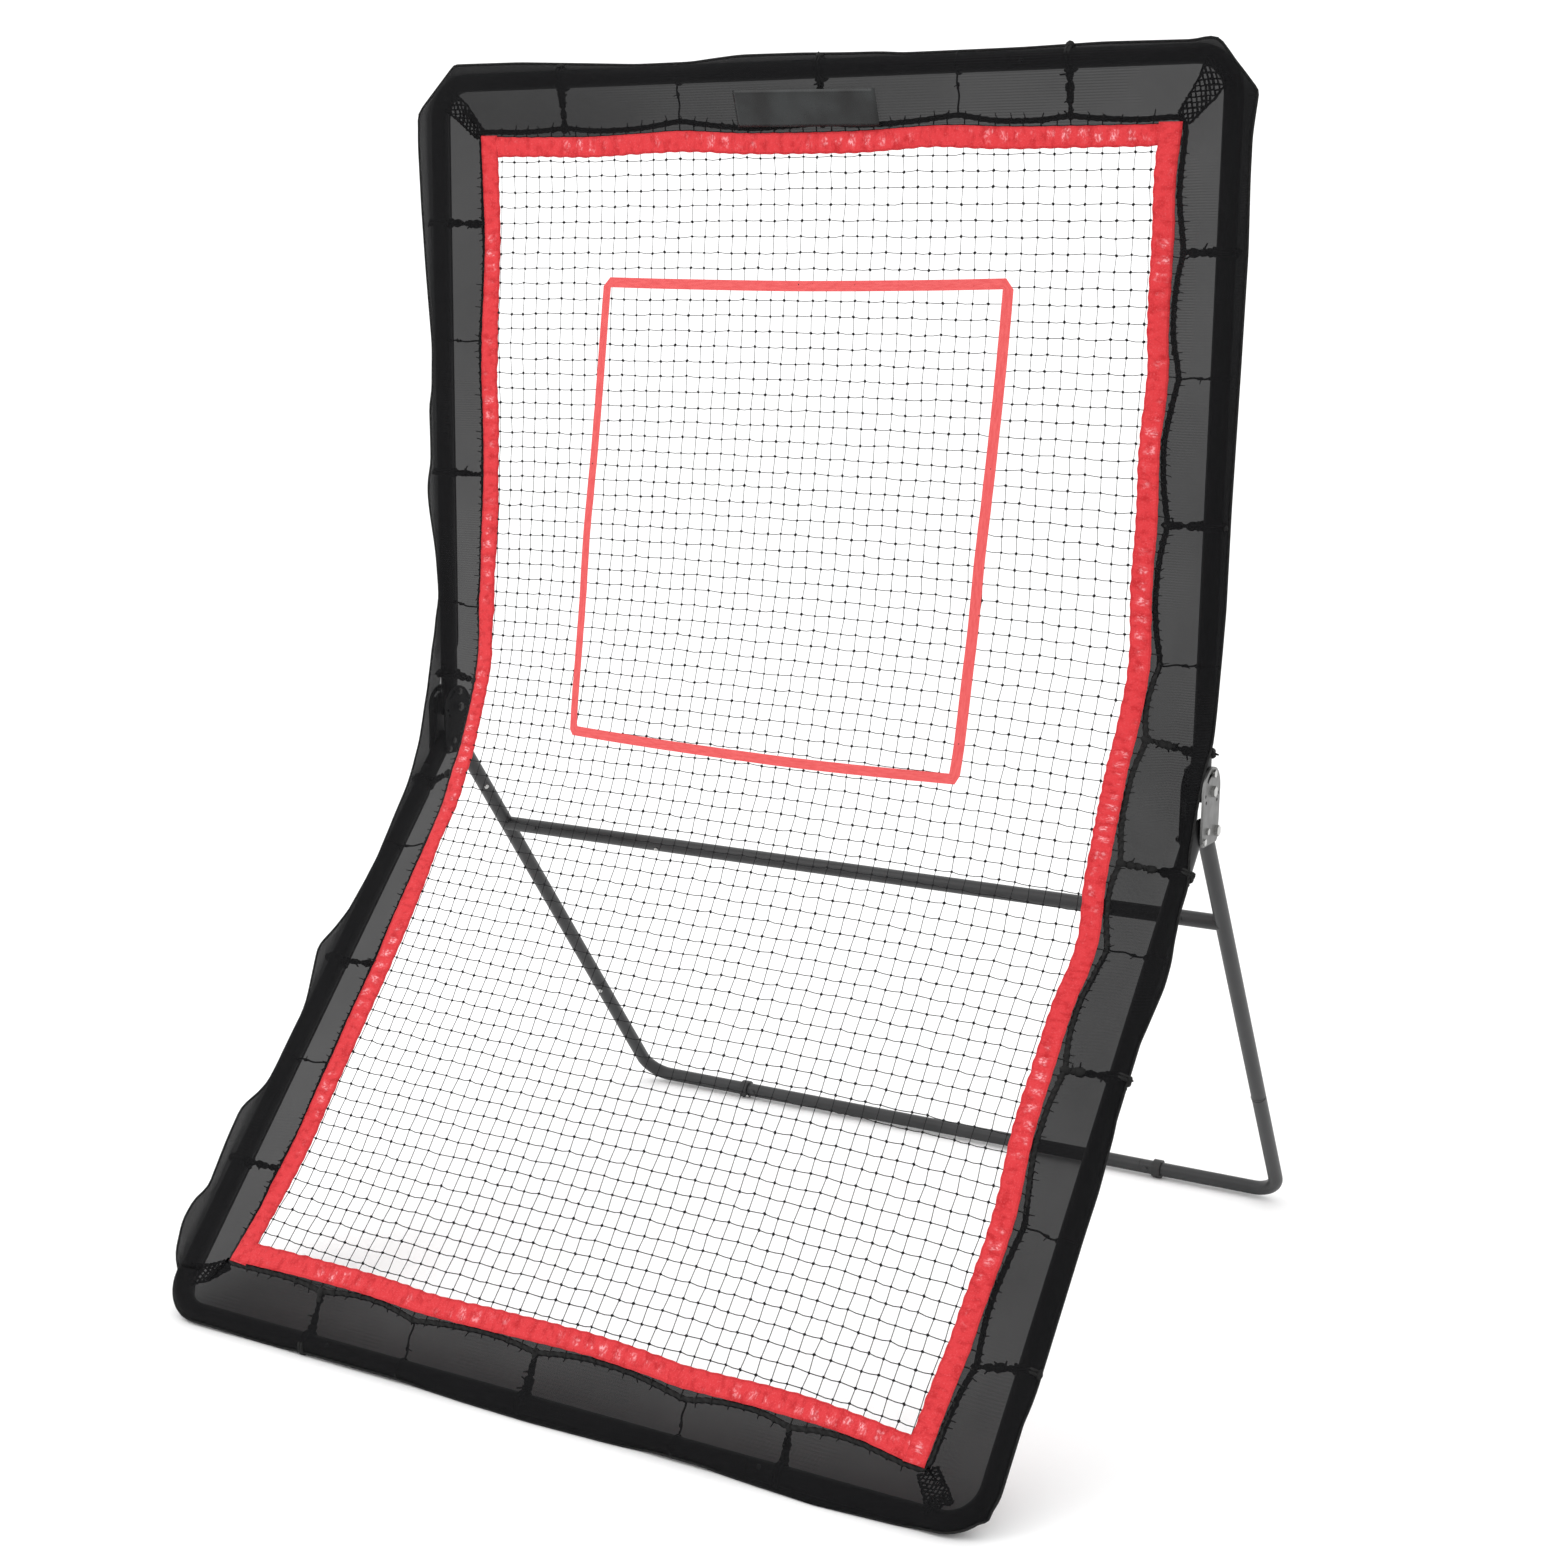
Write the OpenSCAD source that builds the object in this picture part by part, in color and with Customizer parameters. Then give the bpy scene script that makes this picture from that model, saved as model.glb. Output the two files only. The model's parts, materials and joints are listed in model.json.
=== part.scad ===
// Pitching target net: a folded steel tube frame with a laced square-mesh net,
// a mesh cover round the frame and a rear support leg.
// +X is the thrower's right, +Y points from the front to the back, +Z is up.
// The origin lies on the floor, half way between the cover's front edge and the rear bar.

/* [Face frame] */
// Distance between the axes of the two side tubes
frame_w = 1200; // [1000:10:1400]
// Length of each half frame, from the fold line to the axis of its end tube
section_l = 950; // [880:10:1050]
// Slope of the lower half frame above the floor, in degrees
lower_angle = 47.5; // [44:0.5:52]
// Outside diameter of the face frame tube
tube_d = 25; // [22:0.5:26]
// Wall thickness of every tube
tube_wall = 1.2; // [0.8:0.1:1.8]
// Centre-line radius of the face frame's corners
corner_r = 50; // [45:1:60]
// Distance from the middle to each seam in the end tubes
seam_x = 305; // [250:5:350]
// Length of a swaged tube end inside the next tube
spigot_l = 60; // [50:1:80]
// Sliding clearance between a swaged end and the tube it enters
spigot_gap = 0.2; // [0.1:0.05:0.3]
// Height of the lower tube above the floor
floor_gap = 0.5; // [0.3:0.1:2]

/* [Side brackets] */
// Radius of the rounded top of a bracket plate
plate_r = 32; // [30:1:36]
// Thickness of a bracket plate
plate_t = 3; // [2:0.5:4]
// Clearance between a tube and the bracket plates
plate_gap = 0.3; // [0.2:0.1:0.6]
// Distance from the tilt pivot down to the bottom edge of a plate
plate_drop = 70; // [66:1:74]
// Distance from the fold line up to the tilt pivot
pivot_up = 35; // [33:1:38]
// Diameter of the pivot bolts
pivot_d = 8; // [6:1:10]
// Diameter of the lock bolts
lock_d = 6; // [5:0.5:6.5]
// Distance from the tilt pivot to the lock bolt
lock_r = 23.5; // [23:0.5:24]
// Diameter of the bolts that fix the plates to the lower tubes
fix_d = 5; // [4:0.5:6]
// Forward tilt that the curved slot allows, in degrees
tilt_forward = 45; // [20:1:60]
// Backward tilt that the curved slot allows, in degrees
tilt_back = 20; // [10:1:30]
// Running clearance on radius between a pin and its hole
pin_gap = 0.05; // [0.02:0.01:0.1]

/* [Rear leg] */
// Outside diameter of the rear leg tube
leg_d = 22; // [20:0.5:25]
// Depth of the stand, from the front tube to the rear bar
stand_depth = 1180; // [1080:10:1300]
// Distance between the corners of the rear bar
rear_w = 1150; // [1050:10:1170]
// Centre-line radius of the leg's bends
leg_bend_r = 42; // [36:1:60]
// Leg pivot, behind the fold line
leg_pivot_back = 20; // [19:0.5:22]
// Leg pivot, below the fold line
leg_pivot_down = 20; // [18:0.5:22]
// Height of the cross bar above the floor
crossbar_z = 539; // [450:10:600]
// Distance from the middle to each seam in the rear bar
rear_seam_x = 350; // [300:10:400]
// Distance from the middle to each seam in the cross bar
cross_seam_x = 525; // [480:5:540]
// Distance from the middle to each foot ring
foot_x = 378; // [365:1:420]
// Outside diameter of a foot ring
foot_d = 29; // [26:0.5:34]
// Width of a foot ring
foot_w = 13; // [8:1:20]

/* [Net and trim] */
// Gap from the side tubes' axes to the red border's outer edge
side_margin = 67; // [60:1:80]
// Gap from the top tube's axis to the red border's outer edge
top_margin = 73; // [66:1:85]
// Gap from the bottom tube's axis to the red border's outer edge
bottom_margin = 62; // [58:1:80]
// Width of the red border
band_w = 33; // [25:1:40]
// Thickness of the red border
band_t = 2.4; // [1.5:0.1:3]
// Diameter of the black border rope
rope_d = 5; // [4:0.5:6]
// Width of one net strand
strand_w = 4; // [2:0.5:5]
// Thickness of the net
net_t = 2; // [1.5:0.5:3]
// Openings across the net
net_columns = 13; // [8:1:15]
// Spacing wanted between the net's level strands
net_pitch = 77; // [70:1:110]
// How far the net's lower edge of the upper half stands in front of the frame
net_belly = 95; // [60:1:100]
// Width of the strike zone, over its tape
zone_w = 630; // [432:2:700]
// Top edge of the strike zone above the fold line
zone_top = 673; // [600:1:700]
// Width of the strike zone tape
zone_tape = 13; // [10:1:20]
// Thickness of the strike zone tape
zone_t = 1.2; // [0.8:0.1:2]

/* [Mesh cover] */
// Thickness of the cover cloth
cover_t = 1.2; // [0.8:0.1:1.5]
// Clearance from a tube's surface to the cover
cover_gap = 4.5; // [4.3:0.1:6]
// Reach of the cover outside the tube's axis
cover_reach = 25; // [23:1:30]
// Reach of the cover's flat front inside the tube's axis
cover_lap = 30; // [26:1:34]
// Reach of the cover's back hem inside the tube's axis
hem_lap = 12; // [6:1:20]
// Width of the bare label patch
label_w = 214; // [150:2:260]
// Height of the bare label patch
label_h = 44; // [30:1:45]

/* [Ties] */
// Diameter of the thick tie cord
thick_d = 3.8; // [3:0.1:4]
// Diameter of the thin tie cord
thin_d = 2; // [1.5:0.1:2.5]
// Spacing of the ties along the end tubes
tie_pitch = 193; // [180:1:200]

/* [Hidden] */
$fn = 48;
tube_r = tube_d / 2;
leg_r = leg_d / 2;
bore_r = tube_r - tube_wall;
spigot_r = bore_r - spigot_gap;
leg_bore_r = leg_r - tube_wall;
leg_spigot_r = leg_bore_r - spigot_gap;
half_w = frame_w / 2;

// Mesh cover, in section across a tube: x outwards, y to the front
cover_in = tube_r + cover_gap;
cover_out = cover_in + cover_t;
cover_mid = cover_reach - cover_out;
web_w = cover_in + cover_t / 2;
web_t = cover_t * 0.75;

// Depth of the whole stand on the floor, and the axes of the front tube and the rear bar in it
front_reach = cover_mid * cos(lower_angle) + cover_out;
bar_z = foot_d / 2;
floor_l = front_reach + stand_depth + bar_z;
front_y = front_reach - floor_l / 2;
rear_y = front_y + stand_depth;

// The fold line, where the axes of the two half frames meet
fold_y = front_y + section_l * cos(lower_angle);
fold_z = tube_r + floor_gap + section_l * sin(lower_angle);

// Side view points [y, z], from a distance s along a half frame and d in front of it
function upper_at(s, d) = [fold_y - d, fold_z + s];
function lower_at(s, d) = [
    fold_y - s * cos(lower_angle) - d * sin(lower_angle),
    fold_z - s * sin(lower_angle) + d * cos(lower_angle)
];
function lower_sd(p) = [
    (fold_y - p[0]) * cos(lower_angle) + (fold_z - p[1]) * sin(lower_angle),
    (fold_y - p[0]) * sin(lower_angle) - (fold_z - p[1]) * cos(lower_angle)
];
pivot = upper_at(pivot_up, 0);

// Where the border's outer edge ends on each half frame
top_s = section_l - top_margin;
bottom_s = section_l - bottom_margin;
band_x = half_w - side_margin;
net_x = band_x - band_w;

// Side profile of the stretched net: [distance from the fold line, distance in front of the frame]
upper_profile = [
    [top_s, -3],
    [top_s - 490, 14],
    [157, 46],
    [22, net_belly]
];
lower_profile = [
    [265, 36],
    [534, 18],
    [bottom_s, 20]
];
fold_mid = [152, 53];
upper_pts = [for (p = upper_profile) upper_at(p[0], p[1])];
lower_pts = [for (p = lower_profile) lower_at(p[0], p[1])];
fold_pts = [upper_pts[3], lower_at(fold_mid[0], fold_mid[1]), lower_pts[0]];

// Clearances between soft pieces that touch in use
soft_gap = 0.3;
edge_gap = 0.4;

// Where the cover's sleeves start above and below the fold line
cover_start_up = pivot_up + plate_r + 18;
cover_start_low = 66;

// Tie places: distance from the fold line on the sides, distance from the middle on the ends
upper_thick_s = [92, 382, 735];
upper_thin_s = [195, 570];
lower_thick_s = [98, 393, 750];
lower_thin_s = [209, 571];
end_thick_x = [-2 * tie_pitch, 0, 2 * tie_pitch];
end_thin_x = [-tie_pitch, tie_pitch];

// Rear leg
leg_pivot = [fold_y + leg_pivot_back, fold_z - leg_pivot_down];
leg_top = [half_w, leg_pivot[0], leg_pivot[1]];
leg_foot = [rear_w / 2, rear_y, bar_z];
leg_dir = (leg_foot - leg_top) / norm(leg_foot - leg_top);
leg_stub = 9;
cross_t = (leg_pivot[1] - crossbar_z) / (leg_pivot[1] - bar_z);
cross_at = leg_top + cross_t * (leg_foot - leg_top);

// Brackets
inner_face = tube_r + plate_gap;
outer_face = inner_face + plate_t;
tube_clear = 4;
upper_end = pivot_up - tube_r - 1.5;
lower_end = 14;
fix_s = [21, 37];

// Snap buttons in the seams of the end tubes
button_x = seam_x + 18;
button_r = 3.45;
button_top = tube_r + 2.8;
flange_r = 5;
flange_top = 7.6;
button_travel = 3;
screw_r = 2;
bend_swell = 0.2;
leaf_t = 0.8;
leaf_l = 30;

steel_black = [0.08, 0.08, 0.085];
leg_grey = [0.27, 0.27, 0.28];
plate_grey = [0.42, 0.42, 0.42];
zinc = [0.8, 0.8, 0.78];
red = [0.9, 0.15, 0.17];
coral = [1, 0.38, 0.38];
cord_black = [0.05, 0.05, 0.05];
mesh_grey = [0.25, 0.25, 0.26];

// ---------- placing ----------

// Children drawn as x across, y along a half frame away from the fold line, z to the front
module on_upper() {
    translate([0, fold_y, fold_z]) rotate([90, 0, 0]) children();
}

module on_lower() {
    translate([0, fold_y, fold_z]) rotate([lower_angle, 0, 0]) mirror([0, 1, 0]) children();
}

module left_side() {
    mirror([1, 0, 0]) children();
}

// Children drawn in side view [y, z], given a width from x0 to x1
module side_extrude(x0, x1) {
    translate([x0, 0, 0]) rotate([90, 0, 90]) linear_extrude(x1 - x0) children();
}

// A round bar between two points
module rod(a, b, r) {
    d = b - a;
    translate(a)
        rotate([0, acos(d[2] / norm(d)), atan2(d[1], d[0])])
            cylinder(h = norm(d), r = r);
}

// Everything below the floor
module under_floor() {
    reach = 2 * (frame_w + stand_depth);
    translate([-reach / 2, -reach / 2, -reach]) cube([reach, reach, reach]);
}

// ---------- tubes ----------

// Solid bar of the L-shaped half frame piece on the right, in half frame axes
module corner_bar(start, end_x, r, over) {
    arc_x = half_w - corner_r;
    arc_s = section_l - corner_r;
    translate([half_w, start - over, 0]) rotate([-90, 0, 0]) cylinder(h = arc_s - start + over, r = r);
    translate([arc_x, arc_s, 0]) rotate_extrude(angle = 90) translate([corner_r, 0]) circle(r);
    translate([end_x - over, section_l, 0]) rotate([0, 90, 0]) cylinder(h = arc_x - end_x + over, r = r);
}

// Hole across a side tube at a distance along it
module side_hole(s, d) {
    translate([half_w - tube_d, s, 0]) rotate([0, 90, 0]) cylinder(h = 2 * tube_d, r = d / 2 + pin_gap);
}

// Hole for a snap button in the front of an end tube
module button_hole() {
    translate([button_x, section_l, 0]) cylinder(h = 2 * tube_r, r = button_r + pin_gap);
}

module corner_tube(start) {
    difference() {
        corner_bar(start, seam_x, tube_r, 0);
        corner_bar(start, seam_x, bore_r, 1);
        button_hole();
    }
}

// Straight middle piece of an end tube, with swaged ends
module end_tube() {
    difference() {
        translate([0, section_l, 0]) rotate([0, 90, 0]) union() {
            translate([0, 0, -seam_x + edge_gap]) cylinder(h = 2 * (seam_x - edge_gap), r = tube_r);
            translate([0, 0, -seam_x - spigot_l]) cylinder(h = 2 * (seam_x + spigot_l), r = spigot_r);
        }
        translate([0, section_l, 0]) rotate([0, 90, 0])
            translate([0, 0, -seam_x - spigot_l - 1])
                cylinder(h = 2 * (seam_x + spigot_l + 1), r = spigot_r - tube_wall);
        button_hole();
        mirror([1, 0, 0]) button_hole();
    }
}

module lower_tube() {
    difference() {
        corner_tube(lower_end);
        for (s = fix_s) side_hole(s, fix_d);
    }
}

module upper_tube() {
    difference() {
        corner_tube(upper_end);
        side_hole(pivot_up, pivot_d);
        side_hole(pivot_up + lock_r, lock_d);
    }
}

module lower_tube_left() {
    color(steel_black) on_lower() left_side() lower_tube();
}

module lower_tube_right() {
    color(steel_black) on_lower() lower_tube();
}

module bottom_tube() {
    color(steel_black) on_lower() end_tube();
}

module upper_tube_left() {
    color(steel_black) on_upper() left_side() upper_tube();
}

module upper_tube_right() {
    color(steel_black) on_upper() upper_tube();
}

module top_tube() {
    color(steel_black) on_upper() end_tube();
}

// ---------- snap buttons ----------

module snap_button() {
    color(zinc) translate([button_x, section_l, 0]) {
        translate([0, 0, flange_top - 1]) cylinder(h = 1, r = flange_r);
        translate([0, 0, flange_top]) cylinder(h = button_top - flange_top - 1, r = button_r);
        translate([0, 0, button_top - 1]) cylinder(h = 1, r1 = button_r, r2 = button_r - 1);
    }
}

// Folded leaf spring that carries the button: two arms and a round bend
module snap_spring() {
    top = flange_top - 1;
    bottom = -(spigot_r - tube_wall) + button_travel + 0.9;
    mid = (top + bottom) / 2;
    bend_r = (top - bottom) / 2;
    color(zinc) translate([button_x - flange_r, section_l + 3, 0]) rotate([90, 0, 0]) linear_extrude(6) {
        translate([0, top - leaf_t]) square([leaf_l, leaf_t]);
        translate([4, bottom]) square([leaf_l - 4, leaf_t]);
        difference() {
            translate([leaf_l, mid]) circle(bend_r);
            translate([leaf_l, mid]) circle(bend_r - leaf_t);
            translate([leaf_l - 2 * bend_r, mid - 2 * bend_r]) square([2 * bend_r, 4 * bend_r]);
        }
    }
}

module top_button_left() {
    on_upper() left_side() snap_button();
}

module top_button_right() {
    on_upper() snap_button();
}

module bottom_button_left() {
    on_lower() left_side() snap_button();
}

module bottom_button_right() {
    on_lower() snap_button();
}

module top_spring_left() {
    on_upper() left_side() snap_spring();
}

module top_spring_right() {
    on_upper() snap_spring();
}

module bottom_spring_left() {
    on_lower() left_side() snap_spring();
}

module bottom_spring_right() {
    on_lower() snap_spring();
}

// ---------- side brackets ----------

// Curved slot for the lock bolt, centred on the tilt pivot
module lock_slot() {
    slot_r = lock_d / 2 + 2 * pin_gap;
    end_turn = asin(slot_r / lock_r) + 1.5;
    from = 90 - tilt_back - end_turn;
    turn = tilt_back + tilt_forward + 2 * end_turn;
    translate([pivot[0], pivot[1]]) rotate(from) difference() {
        circle(lock_r + slot_r);
        circle(lock_r - slot_r);
        // everything outside the slot's sweep
        translate([-3 * plate_r, -6 * plate_r]) square([6 * plate_r, 6 * plate_r]);
        rotate(turn) translate([-3 * plate_r, 0]) square([6 * plate_r, 6 * plate_r]);
    }
}

// Pairs of index holes at the front and the back of the round top
module index_holes() {
    translate([pivot[0], pivot[1]])
        for (a = [187, 209, -13, -35]) rotate(a) translate([plate_r - 7.5, 0]) circle(2.4);
}

// Round top on a straight foot with cut corners
module plate_outline() {
    side = plate_r - 0.5;
    cut = 6;
    difference() {
        translate([pivot[0], pivot[1]]) union() {
            circle(plate_r);
            polygon([
                [-side, 0], [-side, cut - plate_drop], [cut - side, -plate_drop],
                [side - cut, -plate_drop], [side, cut - plate_drop], [side, 0]
            ]);
        }
        lock_slot();
        index_holes();
        translate([pivot[0], pivot[1]]) circle(pivot_d / 2 + pin_gap);
        translate([leg_pivot[0], leg_pivot[1]]) circle(pivot_d / 2 + pin_gap);
        for (s = fix_s) translate(lower_at(s, 0)) circle(fix_d / 2 + pin_gap);
    }
}

module bracket_plate(face) {
    color(plate_grey) side_extrude(half_w + face, half_w + face + plate_t) plate_outline();
}

module bracket_outer_right() {
    bracket_plate(inner_face);
}

module bracket_inner_right() {
    bracket_plate(-outer_face);
}

module bracket_outer_left() {
    left_side() bracket_plate(inner_face);
}

module bracket_inner_left() {
    left_side() bracket_plate(-outer_face);
}

// Hex bolt through a pair of plates at a side view point; its head outside, its end inside
module cross_bolt(p, d, lift) {
    head_h = 0.65 * d;
    translate([half_w + outer_face + lift, p[0], p[1]]) rotate([0, 90, 0]) cylinder(h = head_h, r = 0.92 * d, $fn = 6);
    translate([half_w - outer_face - 1.1 * d, p[0], p[1]]) rotate([0, 90, 0])
        cylinder(h = 2 * outer_face + 1.1 * d + lift, r = d / 2);
}

module cross_nut(p, d, lift) {
    translate([half_w - outer_face - lift - 0.8 * d, p[0], p[1]]) rotate([0, 90, 0]) difference() {
        cylinder(h = 0.8 * d, r = 0.92 * d, $fn = 6);
        translate([0, 0, -1]) cylinder(h = 0.8 * d + 2, r = d / 2 + pin_gap);
    }
}

module both_sides() {
    children();
    left_side() children();
}

module frame_bolts() {
    color(zinc) both_sides() for (s = fix_s) cross_bolt(lower_at(s, 0), fix_d, 0);
}

module frame_nuts() {
    color(zinc) both_sides() for (s = fix_s) cross_nut(lower_at(s, 0), fix_d, 0);
}

module tilt_bolts() {
    color(zinc) both_sides() cross_bolt(pivot, pivot_d, 0);
}

module tilt_nuts() {
    color(zinc) both_sides() cross_nut(pivot, pivot_d, 0);
}

module leg_bolts() {
    color(zinc) both_sides() cross_bolt(leg_pivot, pivot_d, 0);
}

module leg_nuts() {
    color(zinc) both_sides() cross_nut(leg_pivot, pivot_d, 0);
}

// Spacing washers between the leg tube and the plates
module leg_washers() {
    gap = inner_face - leg_r - soft_gap;
    color(zinc) both_sides() for (x = [half_w - inner_face, half_w + inner_face - gap])
        translate([x, leg_pivot[0], leg_pivot[1]]) rotate([0, 90, 0]) difference() {
            cylinder(h = gap, r = pivot_d * 0.9);
            translate([0, 0, -1]) cylinder(h = gap + 2, r = pivot_d / 2 + pin_gap);
        }
}

module lock_bolts() {
    color(zinc) both_sides() cross_bolt(upper_at(pivot_up + lock_r, 0), lock_d, soft_gap);
}

module lock_nuts() {
    color(zinc) both_sides() cross_nut(upper_at(pivot_up + lock_r, 0), lock_d, soft_gap);
}

// ---------- rear leg ----------

// Solid bar of the right leg: down from the pivot, round the bend and along the rear bar
module leg_bar(r, over) {
    across = [-1, 0, 0];
    turn = acos(leg_dir * across);
    cut = leg_bend_r * tan(turn / 2);
    inward = (across - (leg_dir * across) * leg_dir) / norm(across - (leg_dir * across) * leg_dir);
    arc_from = leg_foot - cut * leg_dir;
    centre = arc_from + leg_bend_r * inward;
    side = cross(-inward, leg_dir);
    rod(leg_top - (leg_stub + over) * leg_dir, arc_from, r);
    multmatrix([
        [-inward[0], leg_dir[0], side[0], centre[0]],
        [-inward[1], leg_dir[1], side[1], centre[1]],
        [-inward[2], leg_dir[2], side[2], centre[2]],
        [0, 0, 0, 1]
    ]) rotate_extrude(angle = turn) translate([leg_bend_r, 0]) circle(r);
    rod(leg_foot + cut * across, [rear_seam_x - over, rear_y, bar_z], r);
}

// Short socket for the cross bar, welded to the leg
module cross_socket(r, over) {
    rod([cross_seam_x - over, cross_at[1], cross_at[2]], cross_at, r);
}

module leg_tube() {
    difference() {
        union() {
            leg_bar(leg_r, 0);
            cross_socket(leg_r, 0);
        }
        leg_bar(leg_bore_r, 1);
        cross_socket(leg_bore_r, 1);
        translate([half_w - leg_d, leg_pivot[0], leg_pivot[1]]) rotate([0, 90, 0])
            cylinder(h = 2 * leg_d, r = pivot_d / 2 + pin_gap);
        seam_screw_hole(rear_seam_x + 10, rear_y, bar_z);
        seam_screw_hole(cross_seam_x + 10, cross_at[1], cross_at[2]);
    }
}

module leg_tube_left() {
    color(leg_grey) left_side() leg_tube();
}

module leg_tube_right() {
    color(leg_grey) leg_tube();
}

// Straight bar with swaged ends, across the stand
module middle_bar(end_x, y, z) {
    inside = 40;
    bore = leg_spigot_r - tube_wall;
    difference() {
        union() {
            rod([-end_x + edge_gap, y, z], [end_x - edge_gap, y, z], leg_r);
            rod([-end_x - inside, y, z], [end_x + inside, y, z], leg_spigot_r);
        }
        rod([-end_x - inside - 1, y, z], [end_x + inside + 1, y, z], bore);
        seam_screw_hole(end_x + 10, y, z);
        left_side() seam_screw_hole(end_x + 10, y, z);
    }
}

module rear_bar() {
    color(leg_grey) middle_bar(rear_seam_x, rear_y, bar_z);
}

module cross_bar() {
    color(leg_grey) middle_bar(cross_seam_x, cross_at[1], cross_at[2]);
}

module seam_screw_hole(x, y, z) {
    translate([x, y, z]) rotate([90, 0, 0]) cylinder(h = leg_d, r = screw_r + pin_gap);
}

// Pan head screw in the front of a seam
module seam_screw(x, y, z) {
    translate([x, y - leg_r + 4, z]) rotate([90, 0, 0]) cylinder(h = 4.6, r = screw_r);
    translate([x, y - leg_r - 0.2, z]) rotate([90, 0, 0]) cylinder(h = 1.6, r = 2 * screw_r);
}

module leg_screws() {
    color(zinc) both_sides() {
        seam_screw(rear_seam_x + 10, rear_y, bar_z);
        seam_screw(cross_seam_x + 10, cross_at[1], cross_at[2]);
    }
}

// Rings that keep the rear bar off the floor
module foot_rings() {
    color(cord_black) both_sides() translate([foot_x - foot_w / 2, rear_y, bar_z]) rotate([0, 90, 0])
        difference() {
            cylinder(h = foot_w, r = foot_d / 2);
            translate([0, 0, -1]) cylinder(h = foot_w + 2, r = leg_r + pin_gap);
        }
}

// ---------- net, border and rope ----------

// Step to the back at point i of a side view line that runs down, with mitred bends
function unit(v) = v / norm(v);
function side_step(v) = [-v[1], v[0]];
function back_at(pts, i) =
    let (
        n = len(pts) - 1,
        a = side_step(unit(i > 0 ? pts[i] - pts[i - 1] : pts[1] - pts[0])),
        b = side_step(unit(i < n ? pts[i + 1] - pts[i] : pts[n] - pts[n - 1]))
    )
    (a + b) / (1 + a * b);

// Flat strip along a side view line, of thickness t, moved back by lift
module strip(pts, t, lift = 0) {
    n = len(pts) - 1;
    polygon(concat(
        [for (i = [0:n]) pts[i] + (lift - t / 2) * back_at(pts, i)],
        [for (i = [n:-1:0]) pts[i] + (lift + t / 2) * back_at(pts, i)]
    ));
}

// One flat field of the net between two side view points, with square openings
module net_field(a, b) {
    length = norm(b - a);
    rows = max(1, round(length / net_pitch));
    width = 2 * (net_x - soft_gap);
    dx = (width - strand_w) / net_columns;
    dy = (length - strand_w) / rows;
    translate([0, a[0], a[1]]) rotate([atan2(b[1] - a[1], b[0] - a[0]), 0, 0])
        translate([0, 0, -net_t / 2]) linear_extrude(net_t) difference() {
            translate([-width / 2, 0]) square([width, length]);
            for (i = [0:net_columns - 1], j = [0:rows - 1])
                translate([-width / 2 + strand_w + i * dx, strand_w + j * dy])
                    square([dx - strand_w, dy - strand_w]);
        }
}

// Several fields in a row, joined by a thicker strand at each bend
module net_piece(pts) {
    side = net_x - soft_gap - 0.5;
    last = len(pts) - 1;
    for (i = [0:last - 1]) net_field(
        i == 0 ? pts[i] : toward(pts[i], pts[i + 1], edge_gap),
        i == last - 1 ? pts[i + 1] : toward(pts[i + 1], pts[i], edge_gap)
    );
    for (i = [1:1:last - 1]) {
        reach = strand_w / 2;
        bend = [toward(pts[i], pts[i - 1], reach), pts[i], toward(pts[i], pts[i + 1], reach)];
        side_extrude(-side, side) strip(bend, net_t + 0.4);
    }
}

// A point moved along a side view line towards its neighbour
function toward(a, b, d) = a + d * (b - a) / norm(b - a);

upper_net = [
    toward(upper_pts[0], upper_pts[1], band_w + soft_gap),
    upper_pts[1], upper_pts[2],
    toward(upper_pts[3], upper_pts[2], edge_gap)
];
lower_net = [
    toward(lower_pts[0], lower_pts[1], edge_gap),
    lower_pts[1],
    toward(lower_pts[2], lower_pts[1], band_w + soft_gap)
];

module net_upper() {
    color(cord_black) net_piece(upper_net);
}

module net_fold() {
    color(cord_black) net_piece(fold_pts);
}

module net_lower() {
    color(cord_black) net_piece(lower_net);
}

// Four tapes laid on the front of the net
module strike_zone() {
    lift = -(net_t + zone_t) / 2 - soft_gap;
    zone_x = zone_w / 2;
    top = toward(upper_pts[0], upper_pts[1], top_s - zone_top);
    top_end = toward(top, upper_pts[1], zone_tape);
    bottom = upper_net[3];
    bottom_end = toward(bottom, upper_pts[2], zone_tape);
    color(coral) {
        for (x = [-zone_x, zone_x - zone_tape])
            side_extrude(x, x + zone_tape) strip([top, upper_pts[1], upper_pts[2], bottom], zone_t, lift);
        side_extrude(-zone_x, zone_x) strip([top, top_end], zone_t, lift);
        side_extrude(-zone_x, zone_x) strip([bottom_end, bottom], zone_t, lift);
    }
}

// The border runs down each side and across both ends
module side_band(pts) {
    side_extrude(net_x, band_x) strip(pts, band_t);
}

under_top_band = toward(upper_pts[0], upper_pts[1], band_w + soft_gap);
over_bottom_band = toward(lower_pts[2], lower_pts[1], band_w + soft_gap);

module band_top() {
    color(red) side_extrude(-band_x, band_x) strip([upper_pts[0], toward(upper_pts[0], upper_pts[1], band_w)], band_t);
}

module band_bottom() {
    color(red) side_extrude(-band_x, band_x) strip([toward(lower_pts[2], lower_pts[1], band_w), lower_pts[2]], band_t);
}

upper_band_line = [under_top_band, upper_pts[1], upper_pts[2], upper_net[3]];
lower_band_line = [lower_net[0], lower_pts[1], over_bottom_band];

module band_upper_left() {
    color(red) left_side() side_band(upper_band_line);
}

module band_upper_right() {
    color(red) side_band(upper_band_line);
}

module band_lower_left() {
    color(red) left_side() side_band(lower_band_line);
}

module band_lower_right() {
    color(red) side_band(lower_band_line);
}

module band_fold() {
    color(red) both_sides() side_band(fold_pts);
}

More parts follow.
